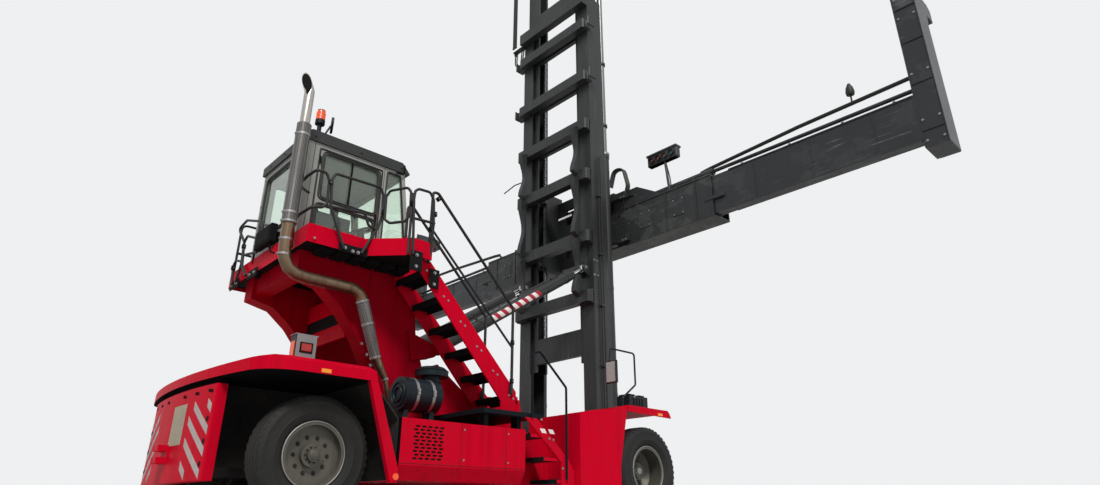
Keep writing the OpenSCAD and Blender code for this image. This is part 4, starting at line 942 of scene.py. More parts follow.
pipe, shield, clamp, tip, bore_soot_and_shade = blanks(5)
MUFFLER_FOOT = exhaust_point(-3.605, 1.725)
MUFFLER_HEAD = exhaust_point(-3.85, 2.375)
add_tube(pipe, exhaust_route((-3.23, 0.97), (-3.25, 1.12), (-3.39, 1.28), (-3.455, 1.50)), 0.030, 0.06, 16)
add_bar(pipe, exhaust_point(-3.45, 1.49), exhaust_point(-3.61, 1.735), 0.034, 0.060, 32)
add_tube(pipe, exhaust_route((-3.79, 2.22), (-3.895, 2.50), (RISER_X, 2.50), (RISER_X, 3.10)), 0.068,
         0.28, 24)
add_bar(shield, MUFFLER_FOOT, MUFFLER_HEAD, 0.062, 0.076, 32)
add_bar(shield, exhaust_point(RISER_X, 3.08), exhaust_point(RISER_X, 4.37), 0.084, None, 40, 0.006)
slant = (MUFFLER_HEAD - MUFFLER_FOOT).normalized()
for x, z, radius in ((-3.61, 1.735, 0.067), (-3.75, 2.11, 0.075), (-3.848, 2.365, 0.080),
                     (-3.455, 1.50, 0.040)):
    add_clamp(clamp, exhaust_point(x, z), slant, radius, 32, RIGHT)
for z, radius in ((2.70, 0.0705), (2.88, 0.0705), (3.09, 0.087), (3.20, 0.087), (4.22, 0.087),
                  (4.36, 0.074)):
    add_clamp(clamp, exhaust_point(RISER_X, z), Vector(UP), radius, 40, BACK)
add_tube(tip, exhaust_route((RISER_X, 4.34), (RISER_X, 4.84), (-4.999, MOUTH_Z + 0.10)), 0.060, 0.14, 24)
cut = bmesh.ops.bisect_plane(tip, geom=tip.verts[:] + tip.edges[:] + tip.faces[:], clear_outer=True,
                             plane_co=exhaust_point(-4.902, 4.958), plane_no=MOUTH_OUT)
cut_edges = [e for e in cut["geom_cut"] if isinstance(e, bmesh.types.BMEdge)]
# The slanted mouth is closed by a lid; the black disc laid on it is soot together with painted shade of the
# open bore.
lid = bmesh.ops.edgeloop_fill(tip, edges=cut_edges)["faces"][0]
middle = lid.calc_center_median()
bore_soot_and_shade.faces.new([bore_soot_and_shade.verts.new(middle + (v.co - middle) * 0.92 + MOUTH_OUT * 0.0008) for v in lid.verts])
exhaust = finished("exhaust_pipe", {"bronze_steel": pipe, "perforated_steel": shield, "worn_steel": clamp,
                                    "tip_steel": tip, "deep_black": bore_soot_and_shade}, "chassis")
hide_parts("exhaust")

# %% [markdown]
# The air cleaner is a drum of black plastic. A strap with a toggle holds it down, its cover has ribs,
# and a rain cap sits on the intake.

# %% Air cleaner details
DRUM_Y = -1.36
DRUM_Z = 1.29
INTAKE = (-2.95, -1.20)
AHEAD = (1, 0, 0)
shell, strap = blanks(2)
for x, radius in ((-3.482, 0.150), (-3.488, 0.095)):
    rib = [(radius, 0.0), (radius - 0.008, 0.010), (radius - 0.022, 0.010), (radius - 0.030, 0.0)]
    add_turned(shell, rib, facing((x, DRUM_Y, DRUM_Z), BACK), 40, True)
add_turned(shell, [(0.190, 0.0), (0.197, 0.006), (0.197, 0.030), (0.190, 0.036)],
           facing((-3.44, DRUM_Y, DRUM_Z), AHEAD), 56, True)
for x in (-3.33, -3.12):
    add_ring(strap, (x, DRUM_Y, DRUM_Z), 0.191, 0.194, 0.018, 56, AHEAD)
    add_box(strap, (x, -1.560, 1.305), (0.030, 0.024, 0.070), 0.004)
    add_bolt(strap, (x, -1.572, 1.31), RIGHT, 0.008)
add_turned(shell, [(0.200, 0.0), (0.206, 0.008), (0.150, 0.052), (0.060, 0.066), (0.0, 0.066)],
           facing((*INTAKE, 1.62), UP), 48)
for z in (1.30, 1.40, 1.50):
    add_turned(shell, [(0.108, -0.012), (0.116, -0.006), (0.116, 0.006), (0.108, 0.012)],
               facing((*INTAKE, z), UP), 40, True)
finished("air_cleaner_details", {"plastic": shell, "worn_steel": strap}, "chassis")

# %% [markdown]
# Stairs on machines like this have treads of black pressed grating: a folded pan with rows of teeth
# along its nose, so that a wet boot still grips. The pans are bolted between the red stringers.

# %% Stair treads
TREADS = 6
TREAD_STEP = 0.268
FIRST_TREAD = (-1.91, 1.40)
TEETH = 16
TEETH_STEP = 0.0345
STAIR_RIGHT = -1.470
STAIR_LEFT = -0.870
pans, heads = blanks(2)
for i in range(TREADS):
    x = FIRST_TREAD[0] - TREAD_STEP * i
    z = FIRST_TREAD[1] + TREAD_STEP * i
    add_block(pans, (x - 0.126, -1.448, z - 0.024), (x + 0.126, -0.892, z + 0.023), 0.004)
    for nose in (-0.122, 0.106):
        add_block(pans, (x + nose, -1.446, z - 0.062), (x + nose + 0.016, -0.894, z - 0.020), 0.004)
    for k in range(TEETH):
        y = -1.430 + TEETH_STEP * k
        for along in (0.100, 0.045, -0.010):
            add_slab(pans, facing((x + along, y, z + 0.028), UP), (0.018, 0.016, 0.014), 0)
        if k % 3 == 1:
            add_box(pans, (x, y, z - 0.036), (0.216, 0.008, 0.028), 0)
    for face, out in ((STAIR_RIGHT, -1), (STAIR_LEFT, 1)):
        for along, up in ((-0.045, 0.030), (0.025, -0.010)):
            add_bolt(heads, (x + along, face, z + up), (0, out, 0), 0.011)
finished("stair_treads", {"deep_black": pans, "worn_steel": heads}, "chassis")

# %% [markdown]
# The hand rails round the platform are bent from one tube each. Most of them lie on an upright plane,
# so their points are pairs on the plane beside the door or on the one behind the platform.

# %% Platform handrails
RAIL_R = 0.017
RAIL_BEND = 0.05
SIDE_Y = -1.256
OUTER_RAIL_Y = -1.653
REAR_RAIL_X = -4.738
FOOT_Z = 2.85
PANEL_TOP = 3.82
PANEL_MIDDLE = 3.39


def beside(y, pairs):
    """Points on an upright plane along the machine."""
    return [(x, y, z) for x, z in pairs]


def behind(pairs):
    """Points on the upright plane behind the platform."""
    return [(REAR_RAIL_X, y, z) for y, z in pairs]


RAIL_ROUTES = {
    "door panel": beside(SIDE_Y, [
        (-4.28, FOOT_Z), (-4.50, 3.30), (-4.53, 3.64), (-4.49, 3.74), (-3.90, 3.76), (-3.85, 3.66),
        (-3.84, 3.41), (-3.88, 3.24), (-4.06, FOOT_Z)]),
    "door middle": beside(SIDE_Y, [(-4.50, 3.31), (-4.07, 3.36), (-4.01, 3.22), (-3.89, 3.19)]),
    "corner top": beside(SIDE_Y, [(-4.55, 3.33), (-4.56, 3.62), (-4.60, 3.71), (-4.72, 3.71)]) + behind([
        (-1.05, 3.70), (-0.87, 3.68), (-0.93, 3.59), (-1.15, 3.45)]),
    "corner middle": beside(SIDE_Y, [(-4.55, 3.33), (-4.60, 3.27), (-4.72, 3.24)]) + behind([
        (-0.95, 3.23), (-0.85, 3.18), (-0.88, FOOT_Z)]),
    "landing post": [(-3.655, -1.61, FOOT_Z), (-3.655, -1.61, 3.64)],
    "stair head": beside(OUTER_RAIL_Y, [
        (-3.615, FOOT_Z), (-3.66, 3.55), (-3.65, 3.66), (-3.60, 3.70), (-3.44, 3.71), (-3.38, 3.62),
        (-3.36, 3.30)]) + [(-3.35, -1.60, 2.86)],
    "stair head middle": beside(OUTER_RAIL_Y, [(-3.64, 3.30), (-3.345, 3.32)]),
    "rear low": behind([(0.97, FOOT_Z), (1.05, 3.13), (0.96, 3.19), (0.70, 3.10)]),
    "rear high": behind([
        (0.83, FOOT_Z), (0.73, 3.07), (0.77, 3.40), (1.09, 3.69), (0.81, 3.73), (0.26, 3.54), (0.16, 3.42),
        (0.16, 3.19)]),
    "rear middle": behind([
        (0.47, FOOT_Z), (0.68, 3.03), (0.77, 3.40), (0.68, 3.46), (0.21, 3.28), (0.16, 3.19), (0.21, 3.10),
        (0.62, 3.18)]),
}
LANDING_LOOP = [(-3.88, -1.375, 3.60), (-3.85, -1.405, 3.68), (-3.70, -1.56, 3.72), (-3.67, -1.59, 3.66),
                (-3.665, -1.60, 3.36), (-3.70, -1.56, 3.27), (-3.83, -1.43, 3.25), (-3.875, -1.38, 3.30)]
LEFT_PANELS = (((-3.192, 1.0), (-3.485, 1.171)), ((-3.66, 1.233), (-3.96, 1.233)),
               ((-4.04, 1.233), (-4.66, 1.233)))
handrails = bmesh.new()
for points in RAIL_ROUTES.values():
    add_tube(handrails, points, RAIL_R, RAIL_BEND, 10)
add_tube(handrails, LANDING_LOOP, RAIL_R, RAIL_BEND, 10, closed=True)
for start, end in LEFT_PANELS:
    hoop = [(*start, FOOT_Z), (*start, PANEL_TOP), (*end, PANEL_TOP), (*end, FOOT_Z)]
    add_tube(handrails, hoop, RAIL_R, 0.09, 10)
    add_tube(handrails, [(*start, PANEL_MIDDLE), (*end, PANEL_MIDDLE)], RAIL_R, 0.02, 10)
rails = finished("platform_handrails", {"seal_rubber": handrails}, "chassis")
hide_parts("platform_rails")

# %% [markdown]
# Where two tubes meet, a clamp of two shells holds them, and every rail stands on a foot plate with
# bolts. These parts are what makes thin tubes look built.

# %% Foot plates and clamps of the rails
STAIR_RAIL_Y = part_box("stair_rails")[0].y + 0.019
CLAMP_R = 0.028
FEET = (  # corner, corner, outward, bolts as fractions of the plate
    ((-4.33, -1.240, 2.825), (-3.97, -1.213, 2.925), RIGHT, ((0.2, 0.5), (0.47, 0.3), (0.66, 0.3))),
    ((-3.64, -1.648, 2.66), (-3.47, -1.634, 2.91), RIGHT, ((0.5, 0.22), (0.5, 0.78))),
    ((-3.27, -1.506, 2.56), (-3.13, -1.492, 2.80), RIGHT, ((0.5, 0.2), (0.5, 0.8))),
    ((-4.727, 0.76, 2.78), (-4.713, 1.06, 2.90), BACK, ((0.25, 0.5), (0.75, 0.5))),
    ((-4.727, 0.15, 2.78), (-4.713, 0.45, 2.90), BACK, ((0.25, 0.5), (0.75, 0.5))))
CLAMPS = (  # place, direction of the tube
    ((-4.545, SIDE_Y, 3.60), UP), ((-3.86, -1.31, 3.42), UP), ((-3.66, -1.625, 3.50), UP),
    ((-3.35, OUTER_RAIL_Y, 3.44), UP), ((REAR_RAIL_X, 0.755, 3.33), UP), ((REAR_RAIL_X, 1.03, 3.10), UP),
    ((-3.30, STAIR_RAIL_Y, 3.30), UP), ((-3.22, STAIR_RAIL_Y, 3.74), (-0.7, 0, 0.7)),
    ((-1.94, STAIR_RAIL_Y, 2.10), UP), ((-1.94, STAIR_RAIL_Y, 1.60), UP))
plates, heads = blanks(2)
for low, high, out, spots in FEET:
    add_block(plates, low, high, 0.005)
    for across, up in spots:
        x = low[0] + (high[0] - low[0]) * across if out == RIGHT else low[0]
        y = low[1] if out == RIGHT else low[1] + (high[1] - low[1]) * across
        add_bolt(heads, (x, y, low[2] + (high[2] - low[2]) * up), out, 0.016)
for spot, along in CLAMPS:
    spot = Vector(spot)
    half = Vector(along).normalized() * CLAMP_R
    add_bar(plates, spot - half, spot + half, CLAMP_R, None, 14, 0.004)
    add_bolt(heads, spot + Vector((0, -0.026, 0)), RIGHT, 0.007)
finished("rail_details", {"deep_black": plates, "worn_steel": heads}, "chassis")

# %% [markdown]
# Under the platform hangs a row of black cassettes, where cables run to the cab. They are slotted on
# their lower side, so that water drains.

# %% Cassettes, bolts, seams and painted shade under the platform
CASSETTE_STEP = 0.20
SLOT_STEP = 0.048
UNDERSIDE_SHADE_OUTLINE = [(-4.68, -1.18), (-3.99, -1.18), (-3.59, -1.60), (-3.35, -1.60), (-3.35, -0.80), (-2.97, -0.80),
             (-2.97, 0.80), (-3.60, 1.18), (-4.68, 1.18)]
cassettes_and_shade, heads, bands = blanks(3)
deck_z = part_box("platform")[0].z
for i in range(6):
    x = -4.48 + CASSETTE_STEP * i
    add_block(cassettes_and_shade, (x, -1.12, deck_z - 0.020), (x + 0.17, -0.86, deck_z + 0.052), 0.012)
    for k in range(5):
        y = -1.10 + SLOT_STEP * k
        add_block(cassettes_and_shade, (x + 0.02, y, deck_z - 0.030), (x + 0.15, y + 0.02, deck_z - 0.018), 0.003)
for y in (-0.50, 0.50):
    add_block(cassettes_and_shade, (-4.60, y - 0.05, deck_z + 0.01), (-3.10, y + 0.05, deck_z + 0.052), 0.006)
# A black plate on the platform's outline is painted shade under the platform.
add_plate(cassettes_and_shade, UNDERSIDE_SHADE_OUTLINE, Matrix.Translation((0, 0, deck_z + 0.042)), 0.007)
for side in (-1, 1):
    out = (0, side, 0)
    for x, z in ((-3.70, 1.92), (-3.62, 1.80), (-3.56, 1.68), (-2.78, 1.25), (-2.84, 1.45), (-3.36, 1.15)):
        add_bolt(heads, (x, side * 0.80, z), out, 0.014)
    for x in (-4.62, -4.10):
        add_bolt(heads, (x, side * 1.213, 2.90), out, 0.011)
add_block(bands, (-3.815, -0.56, 2.03), (-3.79, 0.56, 2.225), 0.003)
add_block(bands, (-3.815, -0.56, 2.395), (-3.79, 0.56, 2.62), 0.003)
add_block(cassettes_and_shade, (-3.806, -0.555, 2.225), (-3.802, 0.555, 2.395), 0)
finished("platform_underside", {"deep_black": cassettes_and_shade, "worn_steel": heads, "red_paint": bands}, "chassis")

# %% [markdown]
# Every pane of a cab sits in a rubber profile with two lips. A thin ring on the outline and a second
# one just outside it give that double line. The rings follow the rounded corners of the openings.

# %% Window seals
SEAL_R = 0.011
CAB_SKIN = 0.702
CAB_BACK = -4.642
FRONT_SIDE = [(-3.535, 3.03), (-3.145, 3.03), (-3.335, 4.33), (-3.535, 4.33)]


def window(x0, x1, z0, z1, grow):
    """The corners of a rectangular opening, grown on all sides, as pairs."""
    return [(x0 - grow, z0 - grow), (x1 + grow, z0 - grow), (x1 + grow, z1 + grow), (x0 - grow, z1 + grow)]


def add_seal(bm, points, bend):
    """One ring of rubber through points."""
    add_tube(bm, points, SEAL_R, bend, 8, closed=True)


def on_rear(pairs):
    """Points on the cab's rear skin."""
    return [(CAB_BACK, y, z) for y, z in pairs]


door_seal, cab_seal = blanks(2)
for grow, bend in ((-0.006, 0.058), (0.020, 0.075)):
    add_seal(door_seal, beside(-CAB_SKIN, window(-4.424, -3.656, 3.65, 4.275, grow)), bend)
    add_seal(door_seal, beside(-CAB_SKIN, window(-4.444, -3.666, 3.08, 3.56, grow)), bend)
add_seal(door_seal, beside(-CAB_SKIN, window(-4.489, -3.611, 3.025, 4.315, 0.0)), 0.03)
for grow, bend in ((-0.006, 0.048), (0.020, 0.065)):
    add_seal(cab_seal, beside(CAB_SKIN, window(-4.48, -3.64, 3.44, 4.27, grow)), bend)
    add_seal(cab_seal, on_rear(window(-0.56, 0.56, 3.38, 4.27, grow)), bend)
for side in (-1, 1):
    add_seal(cab_seal, beside(side * CAB_SKIN, FRONT_SIDE), 0.04)
finished("cab_seals", {"seal_rubber": cab_seal}, "chassis")

# %% [markdown]
# The cab's ceiling is a pale padded panel. It shows through every window, so it is worth its few faces.

# %% Headliner
lining = bmesh.new()
shell_low, shell_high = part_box("cab_shell")
lining_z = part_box("cab_roof")[0].z
add_block(lining, (shell_low.x - AXLE_X + 0.10, shell_low.y + 0.10, lining_z - 0.012),
          (shell_high.x - AXLE_X - 0.16, shell_high.y - 0.10, lining_z + 0.010), 0.008)
finished("cab_headliner", {"headliner": lining}, "chassis")

# %% [markdown]
# The door hangs on two hinges and has a handle with a push button. Its upper pane is split by an
# upright bar, because one half of it slides.

# %% Door furniture
HANDLE_X = -3.650
HINGE_X = -4.478
DOOR_FACE = -0.705
HANDLE_OUT = -0.722
fittings = bmesh.new()
add_block(fittings, (-4.052, -0.712, 3.66), (-4.030, -0.694, 4.266), 0.003)
for z in (3.20, 4.15):
    add_bar(fittings, (HINGE_X, -0.712, z - 0.05), (HINGE_X, -0.712, z + 0.05), 0.014, None, 12, 0.003)
add_block(fittings, (HANDLE_X - 0.018, -0.716, 3.575), (HANDLE_X + 0.018, -0.700, 3.66), 0.005)
add_tube(fittings, [(HANDLE_X, y, z) for y, z in ((DOOR_FACE, 3.59), (HANDLE_OUT, 3.59), (HANDLE_OUT, 3.40),
                                                  (DOOR_FACE, 3.40))], 0.009, 0.02)
finished("door_furniture", {"seal_rubber": door_seal, "deep_black": fittings}, "cab_door")

# %% [markdown]
# On the cab's back and roof sit the small things: a junction box with its cable, a grab bar, sheet
# seams, bolt heads, and the orange dome of the beacon with its moulded ribs.

# %% Cab back, seams and beacon
BEACON = (-4.47, -0.50)
BEACON_RIBS = 12
SEAM_LOW = 2.965
SEAM_HIGH = 4.378
DOME = [(0.058, 0.0), (0.060, 0.02), (0.056, 0.03), (0.056, 0.115), (0.050, 0.142), (0.030, 0.158),
        (0.0, 0.163)]
dark, dome = blanks(2)
add_block(dark, (-4.790, -0.28, 3.10), (-4.700, 0.21, 3.345), 0.012)
add_block(dark, (-4.705, -0.20, 3.16), (-4.636, 0.12, 3.28), 0.004)
add_block(dark, (-4.796, -0.25, 3.13), (-4.788, 0.18, 3.315), 0.004)
add_tube(dark, [(-4.745, -0.22, 3.11), (-4.745, -0.24, 2.98), (-4.68, -0.30, 2.95)], 0.012, 0.05)
add_tube(dark, [(-4.645, 0.42, 2.99), (-4.70, 0.42, 2.99), (-4.70, 0.42, 3.32), (-4.645, 0.42, 3.32)],
         0.012, 0.04)
for side in (-1, 1):
    for x in (-4.565, -3.58):
        low_y, high_y = sorted((side * 0.699, side * 0.7025))
        add_block(dark, (x, low_y, SEAM_LOW), (x + 0.005, high_y, SEAM_HIGH), 0)
for low_y, high_y, low_z, high_z in ((-0.69, 0.69, 3.335, 3.341), (-0.640, -0.635, SEAM_LOW, SEAM_HIGH),
                                     (0.635, 0.640, SEAM_LOW, SEAM_HIGH)):
    add_block(dark, (-4.6425, low_y, low_z), (-4.639, high_y, high_z), 0)
for z in (3.05, 3.9, 4.3):
    for y in (-0.67, 0.67):
        add_bolt(dark, (-4.640, y, z), BACK, 0.008)
for x in (-4.58, -3.95, -3.34):
    for side in (-1, 1):
        add_bolt(dark, (x, side * 0.725, 4.44), (0, side, 0), 0.009)
for y in (-0.45, 0.0, 0.45):
    add_bolt(dark, (-4.67, y, 4.44), BACK, 0.009)
add_tube(dark, [(-3.30, -0.66, 4.50), (-3.30, -0.735, 4.50), (-3.30, -0.735, 4.36), (-3.42, -0.735, 4.34)],
         0.012, 0.03)
add_turned(dome, DOME, facing((*BEACON, 4.818), UP), 32)
for i in range(BEACON_RIBS):
    turn = facing((*BEACON, 4.885), UP) @ Matrix.Rotation(math.tau * i / BEACON_RIBS, 4, "Z")
    add_slab(dome, turn @ Matrix.Translation((0.056, 0, 0)), (0.006, 0.006, 0.09), 0)
finished("cab_details", {"deep_black": dark, "orange_lens": dome}, "chassis")

# %% [markdown]
# The lower steps stand on the right side only. They carry a red side plate with two white patches and
# bolts. Each step is a black pan with punched, raised rims, like the treads above.

# %% Lower steps: patches, bolts and grip
LOWER_STEPS = ((-2.68, -1.78, 1.16), (-1.95, -1.69, 0.93), (-1.74, -1.47, 0.67), (-1.52, -1.25, 0.42))
RIM_STEP = 0.045
ROW_STEP = 0.11
PATCH_Y = -1.9105
PATCH_SLANT = 0.035
pans, white, heads = blanks(3)
for x0, x1, z in LOWER_STEPS:
    for i in range(int((x1 - x0) / RIM_STEP)):
        for k in range(4):
            spot = (x0 + 0.03 + RIM_STEP * i, -(1.50 + ROW_STEP * k), z + 0.004)
            add_slab(pans, facing(spot, UP), (0.020, 0.035, 0.012), 0)
for x0, x1 in ((-1.825, -1.745), (-1.69, -1.61)):
    quad = [(x0, 0.995), (x1, 0.995), (x1 + PATCH_SLANT, 0.945), (x0 + PATCH_SLANT, 0.945)]
    add_plate(white, quad, facing((0, PATCH_Y, 0), RIGHT), 0.001)
for x, z in ((-1.67, 0.885), (-1.60, 0.875), (-1.80, 1.10), (-1.44, 0.55), (-1.38, 0.52)):
    add_bolt(heads, (x, -1.910, z), RIGHT, 0.011)
finished("lower_step_details", {"deep_black": pans, "white_paint": white, "worn_steel": heads}, "chassis")

# %% [markdown]
# The hood is folded sheet over the engine: louvres let the heat out, a seam splits it in two doors,
# and rubber latches pull it down.

# %% Hood louvres, seams and latches
LOUVRE_STEP = 0.065
LOUVRE_LEAN = 24
louvres, latches = blanks(2)
for side in (-1, 1):
    for i in range(9):
        spot = (-1.95 + LOUVRE_STEP * i, side * 0.794, 1.22)
        lean = facing(spot, (0, side, 0)) @ Matrix.Rotation(math.radians(LOUVRE_LEAN), 4, "Y")
        add_slab(louvres, lean, (0.045, 0.30, 0.006), 0.001)
    for x in (-2.62, -2.10, -1.22):
        add_box(louvres, (x, side * 0.7905, 1.225), (0.006, 0.003, 0.49), 0)
    for x in (-2.35, -1.65):
        add_box(latches, (x, side * 0.802, 1.05), (0.044, 0.024, 0.10), 0.005)
        add_bar(latches, (x, side * 0.80, 1.11), (x, side * 0.83, 1.11), 0.016, None, 12)
finished("hood_details", {"red_paint": louvres, "deep_black": latches}, "chassis")

# %% [markdown]
# The seat's cushions are crowned: higher in the middle than at the piped edges, with two sewn seams.
# A subdivided block whose points are pushed out by a smooth bump gives that shape.

# %% Seat cushions
SEAMS_ACROSS = (-0.42, 0.42)
SEAM_WIDTH = 0.07


def add_cushion(bm, place, size, crown):
    """A padded block: rounded, raised in the middle, and pinched along two seams."""
    made = bmesh.ops.create_cube(bm, size=1.0)
    bmesh.ops.subdivide_edges(bm, edges=list(edges_of(made["verts"])), cuts=13, use_grid_fill=True)
    for vert in [v for v in bm.verts if not v.tag]:
        u, v, w = (2 * c for c in vert.co)
        along = 0.5 * (1 - 0.10 * (abs(v) ** 6 + abs(w) ** 6))
        across = 0.5 * (1 - 0.10 * (abs(u) ** 6 + abs(w) ** 6))
        tall = 0.5 * (1 - 0.14 * (abs(u) ** 6 + abs(v) ** 6))
        swell = (1 - u * u) * (1 - v * v)
        seam = sum(math.exp(-((v - s) / SEAM_WIDTH) ** 2) for s in SEAMS_ACROSS) if w > 0.9 else 0
        vert.co = place @ Vector((u * along * size[0], v * across * size[1],
                                  w * tall * size[2] + crown * max(w, 0) * (swell - 0.35 * seam)))
        vert.tag = True


cloth, base = blanks(2)
add_cushion(cloth, Matrix.Translation((-4.035, 0, 3.435)), (0.47, 0.46, 0.115), 0.012)
add_cushion(cloth, facing((-4.265, 0, 3.80), (0.96, 0, 0.20)), (0.43, 0.60, 0.095), 0.012)
add_block(base, (-4.24, -0.20, 3.382), (-3.84, 0.20, 3.40), 0.004)
seat = finished("seat_cushions", {"seat_cloth": cloth, "deep_black": base}, "chassis", 50)
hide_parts("seat")

# %% [markdown]
# Tilt cylinders get what a fitter bolts on: warning stripes on the barrel, a pin with its bolt in the
# upper eye, a gland where the rod comes out, and a hard pipe with its unions.

# %% Tilt cylinder stripes, glands and pins
TILT_Y = 0.749
TILT_LOW = Vector((-2.70, 0, 1.98))
TILT_HIGH = Vector((0.20, 0, 3.85))
TILT_RUN = (TILT_HIGH - TILT_LOW).normalized()
STRIPES = 14
STRIPE_WIDE = 0.078
STRIPE_SLANT = 0.06
STRIPE_WRAP = 62
STRIPE_RADIUS = 0.0895
BARREL_RINGS = ((0.10, 0.096, 0.05), (2.92, 0.094, 0.06), (0.60, 0.0915, 0.02), (2.40, 0.0915, 0.02))
PIN_HALF = 0.085
for side, word in SIDES:
    white, crimson, steel, dark = blanks(4)
    outwards = Vector((0, side, 0))
    start = TILT_LOW + outwards * TILT_Y
    across = TILT_RUN.cross(outwards)
    for i in range(STRIPES):
        along = 1.16 + STRIPE_WIDE * i
        stripe = crimson if i % 2 else white
        grid = bmesh.ops.create_grid(stripe, x_segments=2, y_segments=6, size=0.5)
        for vert in grid["verts"]:
            turn = vert.co.y * math.radians(STRIPE_WRAP)
            out = outwards * math.cos(turn) + across * math.sin(turn)
            reach = along + vert.co.x * STRIPE_WIDE + vert.co.y * STRIPE_SLANT
            vert.co = start + TILT_RUN * reach + out * STRIPE_RADIUS
        painted = list({f for v in grid["verts"] for f in v.link_faces})
        bmesh.ops.solidify(stripe, geom=painted, thickness=0.001)
    for along, radius, thick in BARREL_RINGS:
        add_bar(dark, start + TILT_RUN * along, start + TILT_RUN * (along + thick), radius, None, 32, 0.004)
    pipe_out = outwards * 0.03 + across * -0.108
    add_tube(dark, [start + TILT_RUN * s + pipe_out * k for s, k in
                    ((0.16, 0.75), (0.22, 1.0), (2.72, 1.0), (2.78, 0.75))], 0.011, 0.03)
    for along in (0.9, 1.8, 2.6):
        add_slab(dark, facing(start + TILT_RUN * along + pipe_out, TILT_RUN), (0.036, 0.036, 0.02), 0.004)
    finished("tilt_stripes_" + word, {"white_paint": white, "warning_red": crimson, "black_paint": dark},
             "tilt_barrel_" + word)
    eye_middle = TILT_HIGH + outwards * TILT_Y
    pin = outwards * PIN_HALF
    add_bar(steel, eye_middle - pin, eye_middle + pin, 0.036, None, 24, 0.004)
    add_bolt(steel, eye_middle + pin, outwards, 0.018)
    finished("tilt_eye_pin_" + word, {"worn_steel": steel}, "outer_mast")

# %% [markdown]
# The mast's rear side shows how it is built. Between the bars, flanged plates with a hollow outline
# stiffen the posts. The outline is a wave: wide where a bar meets the post, and narrow in between.

# %% Post stiffeners, bar ends and welds
POST_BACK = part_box("outer_posts")[0].x - AXLE_X
STIFFENED_BARS = (3.34, 4.40, 5.58, 6.60)
TOP_BARS = (7.65, 8.85)
WAVE_STEPS = 12
WAVE_WIDE = 0.130
WAVE_DEPTH = 0.100
WAVE_END = 0.08
dark, steel = blanks(2)
for side in (-1, 1):
    for low, high in zip(STIFFENED_BARS, STIFFENED_BARS[1:]):
        wave = [(0.0, low)]
        for k in range(WAVE_STEPS + 1):
            t = k / WAVE_STEPS
            wave.append((WAVE_WIDE - WAVE_DEPTH * math.sin(math.pi * t) ** 2,
                         low + WAVE_END + (high - low - 2 * WAVE_END) * t))
        wave.append((0.0, high))
        upright = Matrix(((-1, 0, 0, POST_BACK + 0.004), (0, 0, -1, side * 0.70 + 0.05), (0, 1, 0, 0),
                          (0, 0, 0, 1)))
        add_plate(dark, wave, upright, 0.10)
    for z in TOP_BARS:
        y = side * 0.940
        add_block(dark, (0.205, y - 0.01, z - 0.10), (0.355, y + 0.12, z + 0.10), 0.02)
        add_box(dark, (0.2475, side * 1.045, z), (0.195, 0.028, 0.20), 0.01)
    for z in STIFFENED_BARS + TOP_BARS:
        for lip in (-0.109, 0.109):
            add_box(dark, (0.2405, side * 0.80, z + lip), (0.089, 0.26, 0.018), 0.004)
    for xs, zs, size in (((0.32, 0.62), (0.45, 0.52), 0.014), ((0.30, 0.38), (3.72, 3.98), 0.016)):
        for z in zs:
            for x in xs:
                add_bolt(steel, (x, side * 0.920, z), (0, side, 0), size)
finished("mast_stiffeners", {"black_paint": dark, "worn_steel": steel}, "outer_mast")

# %% [markdown]
# Leaf chains lift the inner mast and the carriage. Each chain is a stack of plates on pins; from a
# step away, pairs of short plates in turn wide and narrow show all of that.

# %% Lift chains
CHAIN_PITCH = 0.075
CHAIN_LOW = 2.60
CHAIN_HIGH = 9.30
CHAIN_Y = 0.500
links = bmesh.new()
for side in (-1, 1):
    y = side * CHAIN_Y
    for i in range(int((CHAIN_HIGH - CHAIN_LOW) / CHAIN_PITCH)):
        z = CHAIN_LOW + CHAIN_PITCH * i
        half = (0.052 if i % 2 else 0.036) / 2
        add_block(links, (0.470, y - half, z), (0.500, y + half, z + 0.085), 0)
        add_bar(links, (0.485, y - 0.031, z + 0.006), (0.485, y + 0.031, z + 0.006), 0.009, None, 6)
finished("lift_chains", {"worn_steel": links}, "inner_mast")

# %% [markdown]
# Hoses run up the mast in bundles. The upper ones ride on the inner mast and hang in two brackets.

# %% Upper hoses
UPPER_X = 0.160
UPPER_Y = 1.170
HOSE_STEP = 0.032
upper, bracket = blanks(2)
for k in range(4):
    y = UPPER_Y - HOSE_STEP * k
    add_bar(upper, (UPPER_X, y, 9.39), (UPPER_X, y, 11.585), 0.014, None, 8)
add_block(bracket, (0.13, 0.86, 11.575), (0.38, 1.20, 11.600), 0.006)
add_block(bracket, (0.143, 1.062, 9.400), (0.178, 1.190, 9.425), 0.006)
finished("upper_hoses", {"seal_rubber": upper, "black_paint": bracket}, "inner_mast")

# %% [markdown]
# On the left a bracket holds the lower hoses out; they loop at its foot and go on down the post.
# Rings clamp the lift tubes, and glands close the barrels.

